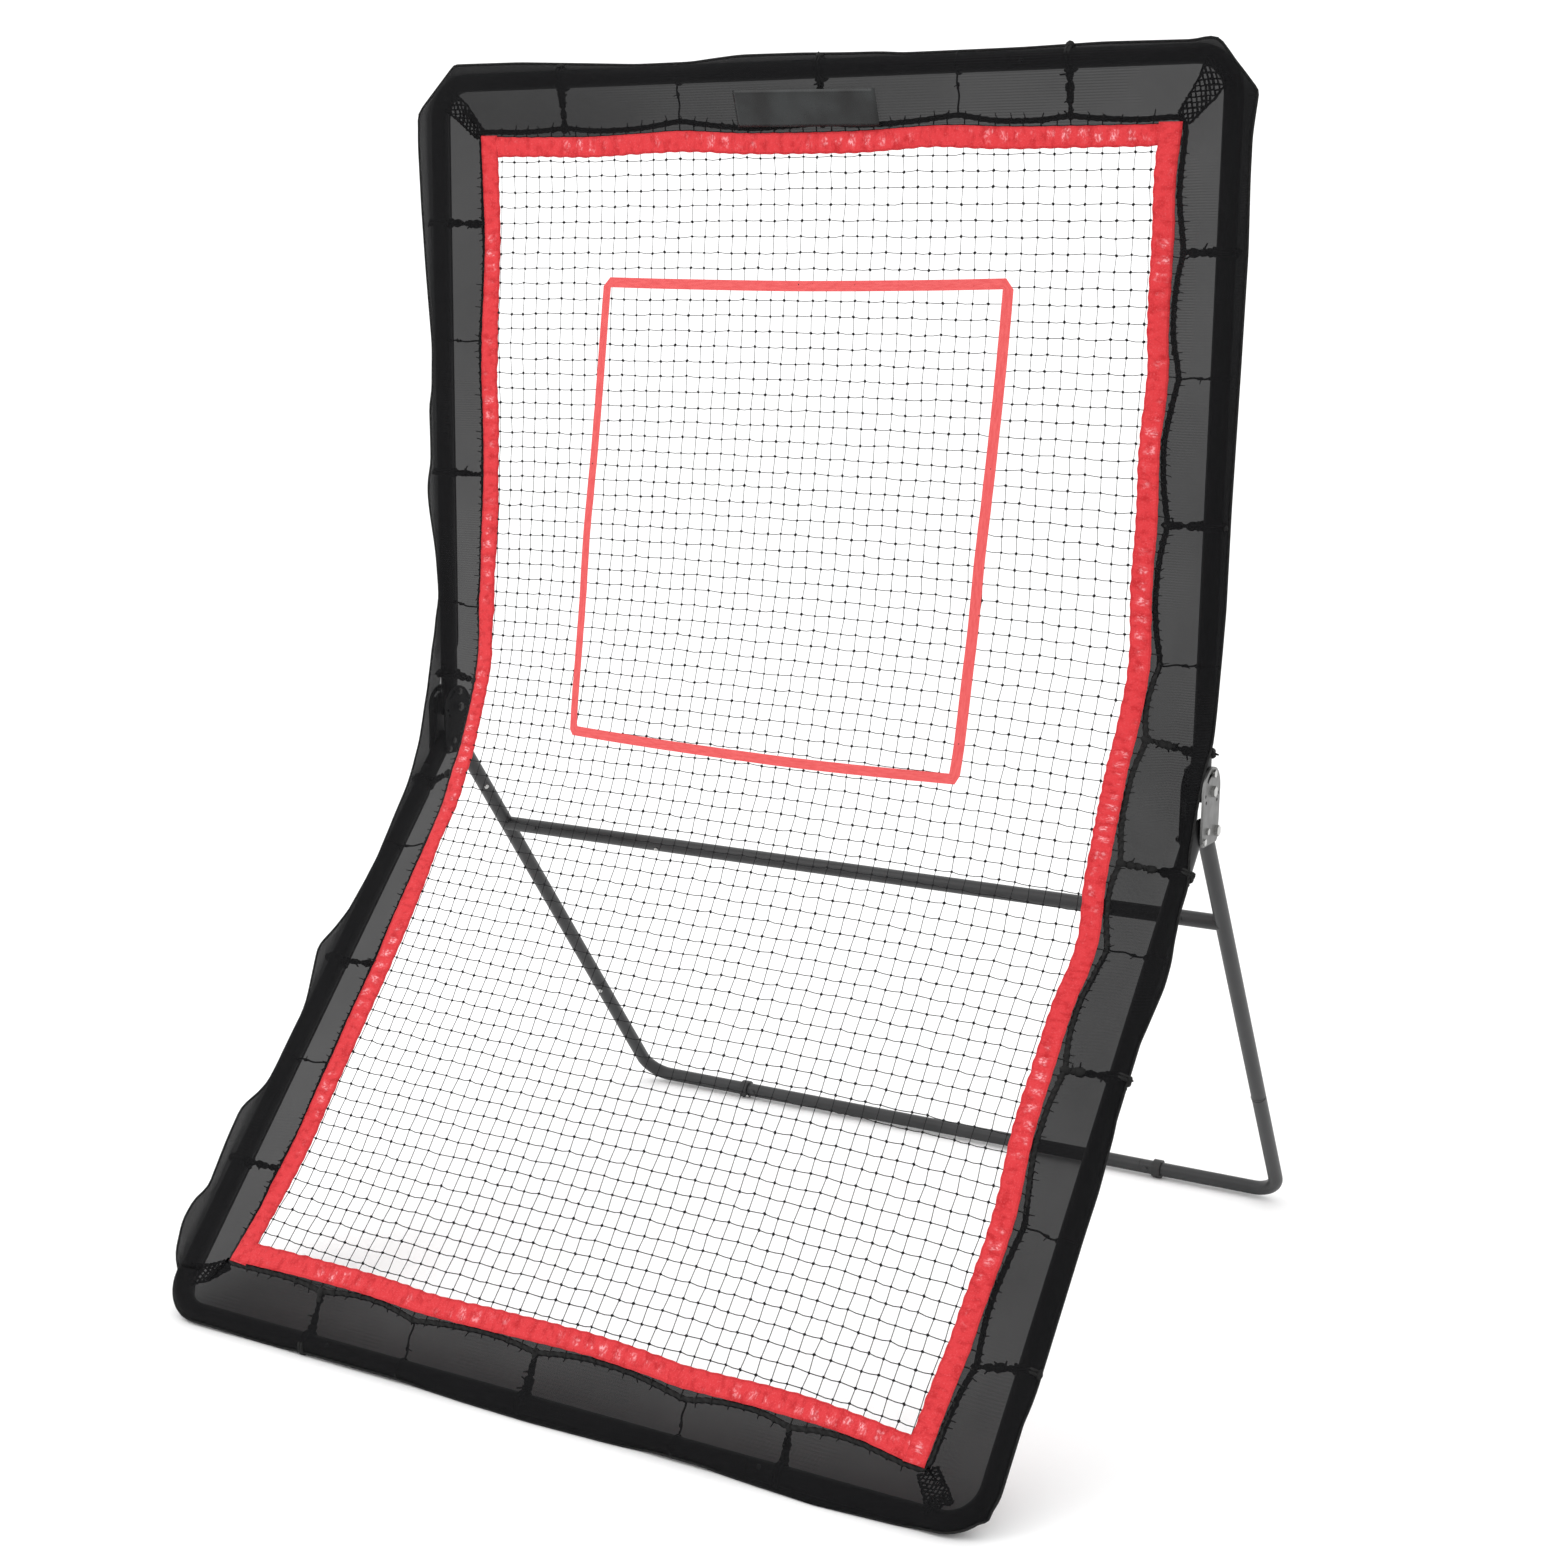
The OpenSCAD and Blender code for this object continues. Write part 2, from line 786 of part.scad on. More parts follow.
// The rope lies behind the border's outer edge
rope_back = (band_t + rope_d) / 2 + soft_gap;
rope_x = band_x - rope_d / 2;

function rope_point(pts, i) = let (p = pts[i] + rope_back * back_at(pts, i)) [rope_x, p[0], p[1]];

// Rope along a side line, a little thicker where it bends
module side_rope(pts) {
    for (i = [0:len(pts) - 2]) rod(rope_point(pts, i), rope_point(pts, i + 1), rope_d / 2);
    for (i = [1:1:len(pts) - 2]) translate(rope_point(pts, i)) sphere(rope_d / 2 + bend_swell);
}

module end_rope(p) {
    rod([-rope_x, p[1], p[2]], [rope_x, p[1], p[2]], rope_d / 2);
    both_sides() translate(p) sphere(rope_d / 2 + bend_swell);
}

top_rope_line = [toward(upper_pts[0], upper_pts[1], rope_d / 2), upper_pts[1], upper_pts[2], upper_net[3]];
low_rope_line = [lower_net[0], lower_pts[1], toward(lower_pts[2], lower_pts[1], rope_d / 2)];

module rope_upper() {
    color(cord_black) {
        both_sides() side_rope(top_rope_line);
        end_rope(rope_point(top_rope_line, 0));
    }
}

module rope_lower() {
    color(cord_black) {
        both_sides() side_rope(low_rope_line);
        end_rope(rope_point(low_rope_line, 2));
    }
}

module rope_fold() {
    color(cord_black) both_sides() side_rope(fold_pts);
}

// ---------- mesh cover ----------

// Cover in section across a tube: front sheet, round outer edge and back hem
module cover_section() {
    module body(r) {
        translate([cover_mid, 0]) circle(r);
        translate([-cover_lap, -r]) square([cover_lap + cover_mid, 2 * r]);
    }
    difference() {
        body(cover_out);
        body(cover_in);
        translate([-cover_lap - 1, -cover_in]) square([cover_lap, 2 * cover_in]);
        translate([-cover_lap - 1, -cover_out - 1]) square([cover_lap + 1 - hem_lap, cover_out + 1]);
    }
}

// Tube-like cover along a side tube, with its corner, in half frame axes
module side_sleeve(start) {
    arc_s = section_l - corner_r;
    translate([half_w, arc_s, 0]) rotate([90, 0, 0]) linear_extrude(arc_s - start) cover_section();
    translate([half_w - corner_r, arc_s, 0]) rotate_extrude(angle = 90)
        translate([corner_r, 0]) cover_section();
}

module end_sleeve() {
    reach = half_w - corner_r - edge_gap;
    translate([-reach, section_l, 0]) rotate([90, 0, 90]) linear_extrude(2 * reach)
        cover_section();
}

// Closed sheet through rows of points; each row's back lies along its own vector
module sheet(rows, back) {
    n = len(rows);
    m = len(rows[0]);
    front_pts = [for (row = rows, p = row) p];
    back_pts = [for (i = [0:n - 1], p = rows[i]) p + back[i]];
    k = n * m;
    function q(i, j) = i * m + j;
    polyhedron(
        points = concat(front_pts, back_pts),
        faces = concat(
            [for (i = [0:n - 2], j = [0:m - 2]) [q(i, j), q(i, j + 1), q(i + 1, j)]],
            [for (i = [0:n - 2], j = [0:m - 2]) [q(i, j + 1), q(i + 1, j + 1), q(i + 1, j)]],
            [for (i = [0:n - 2], j = [0:m - 2]) [k + q(i, j), k + q(i + 1, j), k + q(i, j + 1)]],
            [for (i = [0:n - 2], j = [0:m - 2]) [k + q(i, j + 1), k + q(i + 1, j), k + q(i + 1, j + 1)]],
            [for (i = [0:n - 2]) [q(i, 0), q(i + 1, 0), k + q(i + 1, 0)]],
            [for (i = [0:n - 2]) [q(i, 0), k + q(i + 1, 0), k + q(i, 0)]],
            [for (i = [0:n - 2]) [q(i, m - 1), k + q(i + 1, m - 1), q(i + 1, m - 1)]],
            [for (i = [0:n - 2]) [q(i, m - 1), k + q(i, m - 1), k + q(i + 1, m - 1)]],
            [for (j = [0:m - 2]) [q(0, j), k + q(0, j + 1), q(0, j + 1)]],
            [for (j = [0:m - 2]) [q(0, j), k + q(0, j), k + q(0, j + 1)]],
            [for (j = [0:m - 2]) [q(n - 1, j), q(n - 1, j + 1), k + q(n - 1, j + 1)]],
            [for (j = [0:m - 2]) [q(n - 1, j), k + q(n - 1, j + 1), k + q(n - 1, j)]]
        )
    );
}

// Panel between the border and the sleeve, in half frame axes: profile rows [s, d], first row
// at the tube's end, last row nearest the fold line with its own place on the sleeve
module side_web(profile, end_s, last_s) {
    edge_x = band_x + soft_gap;
    lap_x = half_w - cover_lap + 2;
    n = len(profile);
    tube_rows = [for (i = [0:n - 1]) i == n - 1 ? last_s : profile[i][0]];
    rows = concat(
        [[[edge_x, end_s, web_w], [lap_x, end_s, web_w]]],
        [for (i = [0:n - 1]) [[edge_x, profile[i][0], profile[i][1]], [lap_x, tube_rows[i], web_w]]]
    );
    sheet(rows, [for (row = rows) [0, 0, -web_t]]);
}

// Panel between the border and an end sleeve
module end_web(s, d, end_s) {
    edge_x = band_x - edge_gap;
    rows = [for (x = [-edge_x, edge_x]) [[x, s + soft_gap, d], [x, end_s, web_w]]];
    sheet(rows, [for (row = rows) [0, 0, -web_t]]);
}

lap_s = section_l - cover_lap + 2;
side_end_s = section_l - cover_lap - edge_gap;

module cover_upper() {
    color(mesh_grey) {
        side_sleeve(cover_start_up);
        side_web(upper_profile, side_end_s, cover_start_up + 2);
    }
}

module cover_lower() {
    // the lower profile starts at the fold line; the panel's rows start at the bottom
    n = len(lower_profile);
    from_bottom = [for (i = [0:n - 1]) lower_profile[n - 1 - i]];
    color(mesh_grey) difference() {
        on_lower() {
            side_sleeve(cover_start_low);
            side_web(from_bottom, side_end_s, lower_profile[0][0]);
        }
        under_floor();
    }
}

module cover_upper_left() {
    on_upper() left_side() cover_upper();
}

module cover_upper_right() {
    on_upper() cover_upper();
}

module cover_lower_left() {
    left_side() cover_lower();
}

module cover_lower_right() {
    cover_lower();
}

module cover_top() {
    color(mesh_grey) on_upper() {
        end_sleeve();
        end_web(upper_profile[0][0], upper_profile[0][1], lap_s);
    }
}

module cover_bottom() {
    color(mesh_grey) difference() {
        on_lower() {
            end_sleeve();
            end_web(lower_profile[2][0], lower_profile[2][1], lap_s);
        }
        under_floor();
    }
}

// Loose cover beside the brackets, from the upper half to the lower half
module cover_fold() {
    edge_x = band_x + soft_gap;
    lap_x = half_w - cover_lap - edge_gap;
    edge = [toward(fold_pts[0], fold_pts[1], edge_gap), fold_pts[1], toward(fold_pts[2], fold_pts[1], edge_gap)];
    lap = [
        upper_at(cover_start_up - 3, web_w),
        lower_at(fold_mid[0] - 32, web_w + 12),
        lower_at(lower_profile[0][0] - edge_gap, web_w)
    ];
    backs = [[0, web_t, 0], [0, 0.8 * web_t, -0.6 * web_t], [0, 0.7 * web_t, -0.7 * web_t]];
    color(mesh_grey) both_sides()
        sheet([for (i = [0:2]) [[edge_x, edge[i][0], edge[i][1]], [lap_x, lap[i][0], lap[i][1]]]], backs);
}

// Bare patch on the top panel
module label_patch() {
    lift = 0.8;
    d = upper_profile[0][1];
    slope = (web_w - d) / (lap_s - top_s);
    from = top_s + 2;
    color(cord_black) on_upper() sheet(
        [for (x = [-label_w / 2, label_w / 2]) [
            [x, from, d + lift + slope * 2 + 0.6],
            [x, from + label_h * 0.9, d + lift + slope * (2 + label_h * 0.9) + 0.6]
        ]],
        [[0, 0, -0.6], [0, 0, -0.6]]
    );
}

// ---------- ties and corner webs ----------

// How far in front of the frame the net stands at a distance s along a half frame
function profile_d(profile, s, i = 0) =
    (i >= len(profile) - 2 || (s - profile[i][0]) * (s - profile[i + 1][0]) <= 0)
    ? profile[i][1] + (profile[i + 1][1] - profile[i][1]) * (s - profile[i][0]) / (profile[i + 1][0] - profile[i][0])
    : profile_d(profile, s, i + 1);

// One tie from the rope to a tube: a loop round the tube, a knot beside it and a cord to the rope
// drawn with the tube's axis along y at x = 0 and the rope at x = -reach; a loop round the
// bottom tube stays open under it, where the tube rests on the floor
module tie(d, reach, depth, knot, rests = false) {
    cord_r = 0.43 * d;
    at = [-tube_r - 1.8 * d - 6, 0, 0.05 * depth];
    end = [-reach, 0, depth];
    short = cord_r * abs(depth) / reach;
    rotate([90, 0, 0]) loop(tube_r + soft_gap, d, rests);
    rod([-tube_r - soft_gap - d / 2, 0, 0], at, cord_r);
    rod(at, end + short * unit(at - end), cord_r);
    rod(at + [0.8 * knot, 0, 0], at - [0.8 * knot, 0, 0], 0.9 * knot);
}

// Flattened loop of cord round a circle of radius r, cut off on the side of the floor if open
module loop(r, d, open) {
    linear_extrude(d, center = true) difference() {
        circle(r + d);
        circle(r);
        if (open) rotate(lower_angle - 90) translate([r - d / 2, -2 * r]) square(4 * r);
    }
}

module side_tie(profile, s, d, knot) {
    depth = profile_d(profile, s) - rope_back;
    translate([half_w, s, 0]) tie(d, half_w - rope_x - rope_d / 2 - bend_swell, depth, knot);
}

module end_tie(x, s, dd, d, knot, rests) {
    translate([x, section_l, 0]) rotate([0, 0, 90])
        tie(d, section_l - s - bend_swell, dd - rope_back, knot, rests);
}

module half_ties(profile, thick_s, thin_s, end_s, end_d, rests) {
    for (s = thick_s) both_sides() side_tie(profile, s, thick_d, thick_d);
    for (s = thin_s) both_sides() side_tie(profile, s, thin_d, thin_d);
    for (x = end_thick_x) end_tie(x, end_s, end_d, thick_d, thick_d, rests);
    for (x = end_thin_x) end_tie(x, end_s, end_d, thin_d, thin_d, rests);
}

module ties_upper() {
    color(cord_black) on_upper()
        half_ties(upper_profile, upper_thick_s, upper_thin_s, top_s, upper_profile[0][1], false);
}

module ties_lower() {
    from_fold = concat([lower_sd(fold_pts[0]), fold_mid], lower_profile);
    color(cord_black) on_lower()
        half_ties(from_fold, lower_thick_s, lower_thin_s, bottom_s, lower_profile[2][1], true);
}

// Gathered net from the border's corner to the tube's bend, in half frame axes
module corner_web(s, d) {
    inner = corner_r - tube_r - soft_gap;
    far = [half_w - corner_r, section_l - corner_r] + (inner - 1) * [sin(45), sin(45)];
    near = [band_x - 4, s - 4];
    wide = [13, -13];
    slim = [6, -6];
    back = d - band_t / 2 - rope_d - 2 * soft_gap;
    color(cord_black) sheet(
        [
            [[near[0] + wide[0], near[1] + wide[1], back], [near[0] - wide[0], near[1] - wide[1], back]],
            [[far[0] + slim[0], far[1] + slim[1], 0], [far[0] - slim[0], far[1] - slim[1], 0]]
        ],
        [[0, 0, -1.5], [0, 0, -1.5]]
    );
}

module corner_webs_upper() {
    on_upper() both_sides() corner_web(top_s, upper_profile[0][1]);
}

module corner_webs_lower() {
    on_lower() both_sides() corner_web(bottom_s, lower_profile[2][1]);
}

lower_tube_left();
lower_tube_right();
bottom_tube();
bracket_outer_left();
bracket_inner_left();
bracket_outer_right();
bracket_inner_right();
frame_bolts();
frame_nuts();
tilt_bolts();
tilt_nuts();
leg_bolts();
leg_nuts();
leg_washers();
upper_tube_left();
upper_tube_right();
top_tube();
lock_bolts();
lock_nuts();
top_button_left();
top_button_right();
bottom_button_left();
bottom_button_right();
top_spring_left();
top_spring_right();
bottom_spring_left();
bottom_spring_right();
leg_tube_left();
leg_tube_right();
rear_bar();
cross_bar();
leg_screws();
foot_rings();
net_upper();
net_fold();
net_lower();
strike_zone();
band_top();
band_upper_left();
band_upper_right();
band_fold();
band_lower_left();
band_lower_right();
band_bottom();
rope_upper();
rope_fold();
rope_lower();
ties_upper();
ties_lower();
corner_webs_upper();
corner_webs_lower();
cover_top();
cover_upper_left();
cover_upper_right();
cover_fold();
cover_lower_left();
cover_lower_right();
cover_bottom();
label_patch();
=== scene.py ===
# %% [markdown]
# Pitching target net. The steel frame, brackets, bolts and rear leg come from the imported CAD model
# and keep their shapes. Everything soft, such as the net, its red border, the ropes and the mesh
# cover, is made here, because cloth and cord have detail that a plain solid can't carry.
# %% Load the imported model
import json
import math
import random

import bmesh
import bpy
from mathutils import Matrix, Vector, noise


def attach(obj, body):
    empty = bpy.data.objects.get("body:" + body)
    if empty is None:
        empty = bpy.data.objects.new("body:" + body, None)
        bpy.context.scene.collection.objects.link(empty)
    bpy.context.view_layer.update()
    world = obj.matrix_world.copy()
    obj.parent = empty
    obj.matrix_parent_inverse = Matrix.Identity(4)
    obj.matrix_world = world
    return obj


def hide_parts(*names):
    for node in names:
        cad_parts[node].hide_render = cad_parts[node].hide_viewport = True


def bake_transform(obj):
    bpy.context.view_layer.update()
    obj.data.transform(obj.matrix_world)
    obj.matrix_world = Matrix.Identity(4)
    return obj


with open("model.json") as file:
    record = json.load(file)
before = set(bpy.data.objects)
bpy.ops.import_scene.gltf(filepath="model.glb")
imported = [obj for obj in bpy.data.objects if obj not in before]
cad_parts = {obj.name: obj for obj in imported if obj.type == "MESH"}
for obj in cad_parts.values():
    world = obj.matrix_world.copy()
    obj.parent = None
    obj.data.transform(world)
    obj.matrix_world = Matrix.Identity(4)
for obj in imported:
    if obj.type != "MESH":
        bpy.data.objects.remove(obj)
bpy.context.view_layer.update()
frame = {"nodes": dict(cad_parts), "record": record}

# %% [markdown]
# The camera comes first, so that every later step can be judged through it. It stands to the right
# of the net at head height and looks a little down, through a mild telephoto lens, so that the
# upright tubes stay nearly parallel.
# %% Camera
lens = bpy.data.cameras.new("camera")
lens.sensor_width = 36.0
lens.lens = 54.218
camera = bpy.data.objects.new("camera", lens)
bpy.context.scene.collection.objects.link(camera)
stand = (1.57116, -2.81869, 1.35740)
heading, tip, roll = math.radians(28.872), math.radians(90 - 11.503), math.radians(0.704)
camera.matrix_world = (
    Matrix.Translation(stand)
    @ Matrix.Rotation(heading, 4, "Z") @ Matrix.Rotation(tip, 4, "X") @ Matrix.Rotation(roll, 4, "Z")
)
bpy.context.scene.camera = camera
print("camera", lens.lens, "mm")

# %% [markdown]
# The two half frames meet at the fold line. A place on a half frame is said as on the bench: how far
# along the tube from the fold (s), how far in front of the tubes (d), and how far across (x).
# `on_upper` and `on_lower` turn that into the shared frame, in metres, and the sizes are the CAD
# model's.
# %% The two half frames
MM = 0.001
FOLD_Y, FOLD_Z = 55.958, 713.413
SLOPE = math.radians(47.5)
SECTION, HALF_W, CORNER_R, TUBE_R = 950.0, 600.0, 50.0, 12.5


def on_upper(x, s, d):
    return Vector((x, FOLD_Y - d, FOLD_Z + s)) * MM


def on_lower(x, s, d):
    y = FOLD_Y - s * math.cos(SLOPE) - d * math.sin(SLOPE)
    z = FOLD_Z - s * math.sin(SLOPE) + d * math.cos(SLOPE)
    return Vector((x, y, z)) * MM


def upper_s(p):
    return p.z / MM - FOLD_Z


def lower_s(p):
    return (FOLD_Y - p.y / MM) * math.cos(SLOPE) + (FOLD_Z - p.z / MM) * math.sin(SLOPE)


def half_frame(top):
    """A half frame's place function, its way out to the end tube and its way to the front."""
    place = on_upper if top else on_lower
    fold = place(0, 0, 0)
    return place, (place(0, 1, 0) - fold).normalized(), (place(0, 0, 1) - fold).normalized()


print("fold line at", FOLD_Y, FOLD_Z)

# %% [markdown]
# The net is one stretched sheet of square mesh. Its belly isn't a simple arc: the elastic ties pull
# it forward at the fold and the sides are stiffer than the middle. Three curves say where each mesh
# row runs, down the middle and down both sides, as distance behind the front tube and height. A
# smooth line through the points gives every row between, and the square of x blends sideways.
# %% The stretched surface of the net
PITCH = 21.5
ROWS = [0, 3, 6, 12, 18, 24, 30, 36, 42, 48, 54, 60, 66, 72]
MIDDLE = [(644, 1571), (646, 1509), (643, 1446), (634, 1319), (621, 1193), (601, 1068), (578, 943),
          (539, 821), (497, 702), (437, 590), (368, 484), (292, 381), (213, 283), (131, 185)]
LEFT = [(645, 1573), (646, 1510), (642, 1445), (633, 1317), (633, 1189), (625, 1062), (615, 934),
        (590, 810), (545, 691), (475, 583), (401, 481), (322, 382), (233, 283), (149, 185)]
RIGHT = [(644, 1568), (644, 1506), (648, 1443), (644, 1316), (629, 1188), (621, 1057), (612, 927),
         (566, 805), (518, 688), (464, 572), (374, 473), (289, 372), (214, 267), (124, 170)]
LAST = (49.5, 96.5)
FRONT_TUBE_Y = -585.853
NET_HALF_W = 473.0  # how far across the side curves lie
FIRST_ROW = 0.4
LAST_ROW = {"middle": 77.6, "left": 78.2, "right": 76.87}


def smooth_line(stops, points):
    """A function that runs smoothly through the points, one at each stop."""
    n = len(stops)

    def slope(k):
        a, b = max(k - 1, 0), min(k + 1, n - 1)
        return [(q - p) / (stops[b] - stops[a]) for p, q in zip(points[a], points[b])]

    slopes = [slope(k) for k in range(n)]

    def at(r):
        k = 0
        while k < n - 2 and r > stops[k + 1]:
            k += 1
        h = stops[k + 1] - stops[k]
        t = (r - stops[k]) / h
        if t < 0:
            return [p + t * h * m for p, m in zip(points[k], slopes[k])]
        if t > 1:
            return [p + (t - 1) * h * m for p, m in zip(points[k + 1], slopes[k + 1])]
        a, b = (1 + 2 * t) * (1 - t) ** 2, t * t * (3 - 2 * t)
        c, d = t * (1 - t) ** 2, t * t * (t - 1)
        return [a * p + b * q + h * (c * m + d * w)
                for p, q, m, w in zip(points[k], points[k + 1], slopes[k], slopes[k + 1])]

    return at


middle_row = smooth_line(ROWS + [LAST_ROW["middle"]], MIDDLE + [LAST])
left_row = smooth_line(ROWS + [LAST_ROW["left"]], LEFT + [LAST])
right_row = smooth_line(ROWS + [LAST_ROW["right"]], RIGHT + [LAST])


def net_point(x, row):
    """The place on the net at x mm across, on a mesh row counted down from the top."""
    centre, side = middle_row(row), (left_row if x < 0 else right_row)(row)
    share = (x / NET_HALF_W) ** 2
    y, z = (c + (s - c) * share for c, s in zip(centre, side))
    return Vector((x, FRONT_TUBE_Y + y, z)) * MM


def net_normal(x, row):
    """Which way the front of the net faces there."""
    across = net_point(x + 4, row) - net_point(x - 4, row)
    down = net_point(x, row + 0.2) - net_point(x, row - 0.2)
    return down.cross(across).normalized()


def row_where(x, measure, value):
    """The row at which measure(point) has the value; the measure grows down the net."""
    low, high = -4.0, 84.0
    for _ in range(30):
        mid = (low + high) / 2
        low, high = (mid, high) if measure(net_point(x, mid)) < value else (low, mid)
    return (low + high) / 2


def row_at(x, top, s):
    """The row at a distance s from the fold, on the upper half if top, else on the lower half."""
    return row_where(x, lambda p: -upper_s(p), -s) if top else row_where(x, lower_s, s)


print("net height", round(net_point(0, FIRST_ROW).z - net_point(0, LAST_ROW["middle"]).z, 3), "m")

# %% [markdown]
# Shader maths reads best as ordinary arithmetic. `Wire` wraps one shader socket and lets + - * and /
# add the Math nodes, and `Finish` holds a material and makes any other node from its type, its
# settings and what goes into its sockets. With these two, each finish below is a few lines.
# %% Two helpers for writing materials


class Wire:
    """A number on its way through a shader."""

    def __init__(self, finish, socket):
        self.finish, self.socket = finish, socket

    def maths(self, operation, *values):
        return self.finish.node("Math", {"operation": operation}, dict(enumerate(values)))

    def __add__(self, other):
        return self.maths("ADD", self, other)

    def __sub__(self, other):
        return self.maths("SUBTRACT", self, other)

    def __rsub__(self, other):
        return self.maths("SUBTRACT", other, self)

    def __mul__(self, other):
        return self.maths("MULTIPLY", self, other)

    def __truediv__(self, other):
        return self.maths("DIVIDE", self, other)

    __radd__, __rmul__ = __add__, __mul__

    def wave(self):
        return self.maths("SINE", self)

    def size(self):
        return self.maths("ABSOLUTE", self)

    def between(self, low, high):
        """0 below low, 1 above high, smooth between."""
        return self.finish.node("MapRange", {"interpolation_type": "SMOOTHSTEP"},
                                {"Value": self, "From Min": low, "From Max": high})


class Finish:
    """A material on a Principled shader, with short ways to add nodes."""

    def __init__(self, name, **sockets):
        self.slot = name
        self.material = bpy.data.materials.new(name)
        self.material.use_nodes = True
        self.tree = self.material.node_tree
        self.shader = self.tree.nodes["Principled BSDF"]
        for socket, value in sockets.items():
            self.plug(self.shader.inputs[socket.replace("_", " ")], value)

    def plug(self, socket, value):
        if isinstance(value, Wire):
            self.tree.links.new(value.socket, socket)
        elif socket.type == "RGBA" and len(value) == 3:
            socket.default_value = (*value, 1.0)
        else:
            socket.default_value = value

    def node(self, kind, settings=None, inputs=None, output=0):
        made = self.tree.nodes.new("ShaderNode" + kind)
        for key, value in (settings or {}).items():
            setattr(made, key, value)
        for key, value in (inputs or {}).items():
            self.plug(made.inputs[key], value)
        return Wire(self, made.outputs[output])

    def place(self, kind="Object"):
        return self.node("TexCoord", output=kind)

    def stretch(self, where, scale):
        return self.node("Mapping", {}, {"Vector": where, "Scale": scale})

    def grain(self, where, scale, detail=3.0, roughness=0.5):
        return self.node("TexNoise", {}, {"Vector": where, "Scale": scale, "Detail": detail,
                                          "Roughness": roughness})

    def parts(self, where):
        """The three numbers of a vector."""
        split = self.tree.nodes.new("ShaderNodeSeparateXYZ")
        self.plug(split.inputs[0], where)
        return [Wire(self, out) for out in split.outputs]

    def tint(self, share, first, second):
        return self.node("Mix", {"data_type": "RGBA"}, {0: share, 6: first, 7: second}, output=2)

    def relief(self, height, distance, strength=1.0):
        return self.node("Bump", {}, {"Height": height, "Distance": distance, "Strength": strength})

    def wear(self, **sockets):
        for socket, value in sockets.items():
            self.plug(self.shader.inputs[socket.replace("_", " ")], value)
        return self


print("material helpers ready")

# %% [markdown]
# Powder coat is a baked skin with a fine orange-peel texture. The face frame is satin black and the
# rear leg a dark grey of the same coat. Noise about a millimetre across gives the peel, and a slower
# one varies the sheen where hands have rubbed it. Bare steel has fine rolling lines instead.
# %% Steel finishes


def powder_coat(name, colour, dusty):
    f = Finish(name, Specular_IOR_Level=0.45, IOR=1.5)
    here = f.place()
    peel, hands = f.grain(here, 900, 2), f.grain(here, 14, 4)
    f.wear(Base_Color=f.tint(hands.between(0.35, 0.75), colour, dusty),
           Roughness=0.34 + 0.16 * hands, Normal=f.relief(peel, 0.00012, 0.5))
    return f


def bare_steel(name, colour, scratch, rough):
    f = Finish(name, Metallic=1.0)
    here = f.place()
    lines = f.grain(f.stretch(here, (2500, 2500, 120)), 1, 3)
    stains = f.grain(here, 60, 4)
    f.wear(Base_Color=f.tint(stains.between(0.3, 0.8), colour, scratch),
           Roughness=rough + 0.18 * lines, Normal=f.relief(lines, 0.00005, 0.4))
    return f


frame_enamel = powder_coat("frame_enamel", (0.0075, 0.0075, 0.008), (0.011, 0.011, 0.012))
leg_enamel = powder_coat("leg_enamel", (0.0155, 0.016, 0.0168), (0.024, 0.0245, 0.0256))
plate_steel = bare_steel("plate_steel", (0.17, 0.17, 0.168), (0.23, 0.23, 0.228), 0.40)
zinc = bare_steel("zinc", (0.50, 0.50, 0.49), (0.36, 0.36, 0.35), 0.16)
spring_steel = bare_steel("spring_steel", (0.35, 0.35, 0.36), (0.28, 0.28, 0.29), 0.3)
print("steel finishes made")

# %% [markdown]
# Cord comes in one family: twisted black polyethylene. Its look is the twist of its strands and a
# dry fuzz that kills the shine. The twist follows the cord, so it reads the cord's own UV map, with
# metres along it and one turn around it. The foot rings are plain moulded plastic with a faint grain.
# %% Cord and plastic finishes


def twisted_cord(name, colour, pale, lay, rough):
    f = Finish(name, Specular_IOR_Level=0.25)
    along, around, _ = f.parts(f.place("UV"))
    twist = ((along / lay + around * 2) * math.tau).wave() * 0.5 + 0.5
    fuzz = f.grain(f.place(), 700, 4)
    f.wear(Base_Color=f.tint(twist * fuzz, colour, pale), Roughness=rough + 0.15 * fuzz,
           Normal=f.relief(twist + 0.5 * fuzz, 0.0003, 0.7))
    return f


net_cord = twisted_cord("net_cord", (0.004, 0.004, 0.0045), (0.014, 0.014, 0.016), 0.004, 0.7)
rope_black = twisted_cord("rope_black", (0.006, 0.006, 0.006), (0.02, 0.02, 0.02), 0.012, 0.75)


def moulded_plastic():
    f = Finish("ring_plastic", Specular_IOR_Level=0.4)
    mould = f.grain(f.place(), 500, 3)
    f.wear(Base_Color=f.tint(mould, (0.012, 0.012, 0.012), (0.02, 0.02, 0.02)),
           Roughness=0.42 + 0.12 * mould, Normal=f.relief(mould, 0.0001, 0.5))
    return f


ring_plastic = moulded_plastic()
print("cord and plastic finishes made")

# %% [markdown]
# The border is a red vinyl-coated tape, folded over the edge of the net and sewn. The coating is
# smooth, so where the net's knots press it up from below it catches the light in small pale
# patches, in loose groups. A wave at the mesh pitch, bent by the creases and cut up by noise, paints
# them along the middle of the tape. The strike zone is a flat coral tape with a fine weave. Both read
# the tape's own UV map: metres along it, and 0 to 1 across it.
# %% Tape finishes
BORDER_W, BORDER_THREAD = 0.029, 0.0012
ZONE_THREAD, ZONE_THREADS_ACROSS = 0.0011, 13 / 1.1


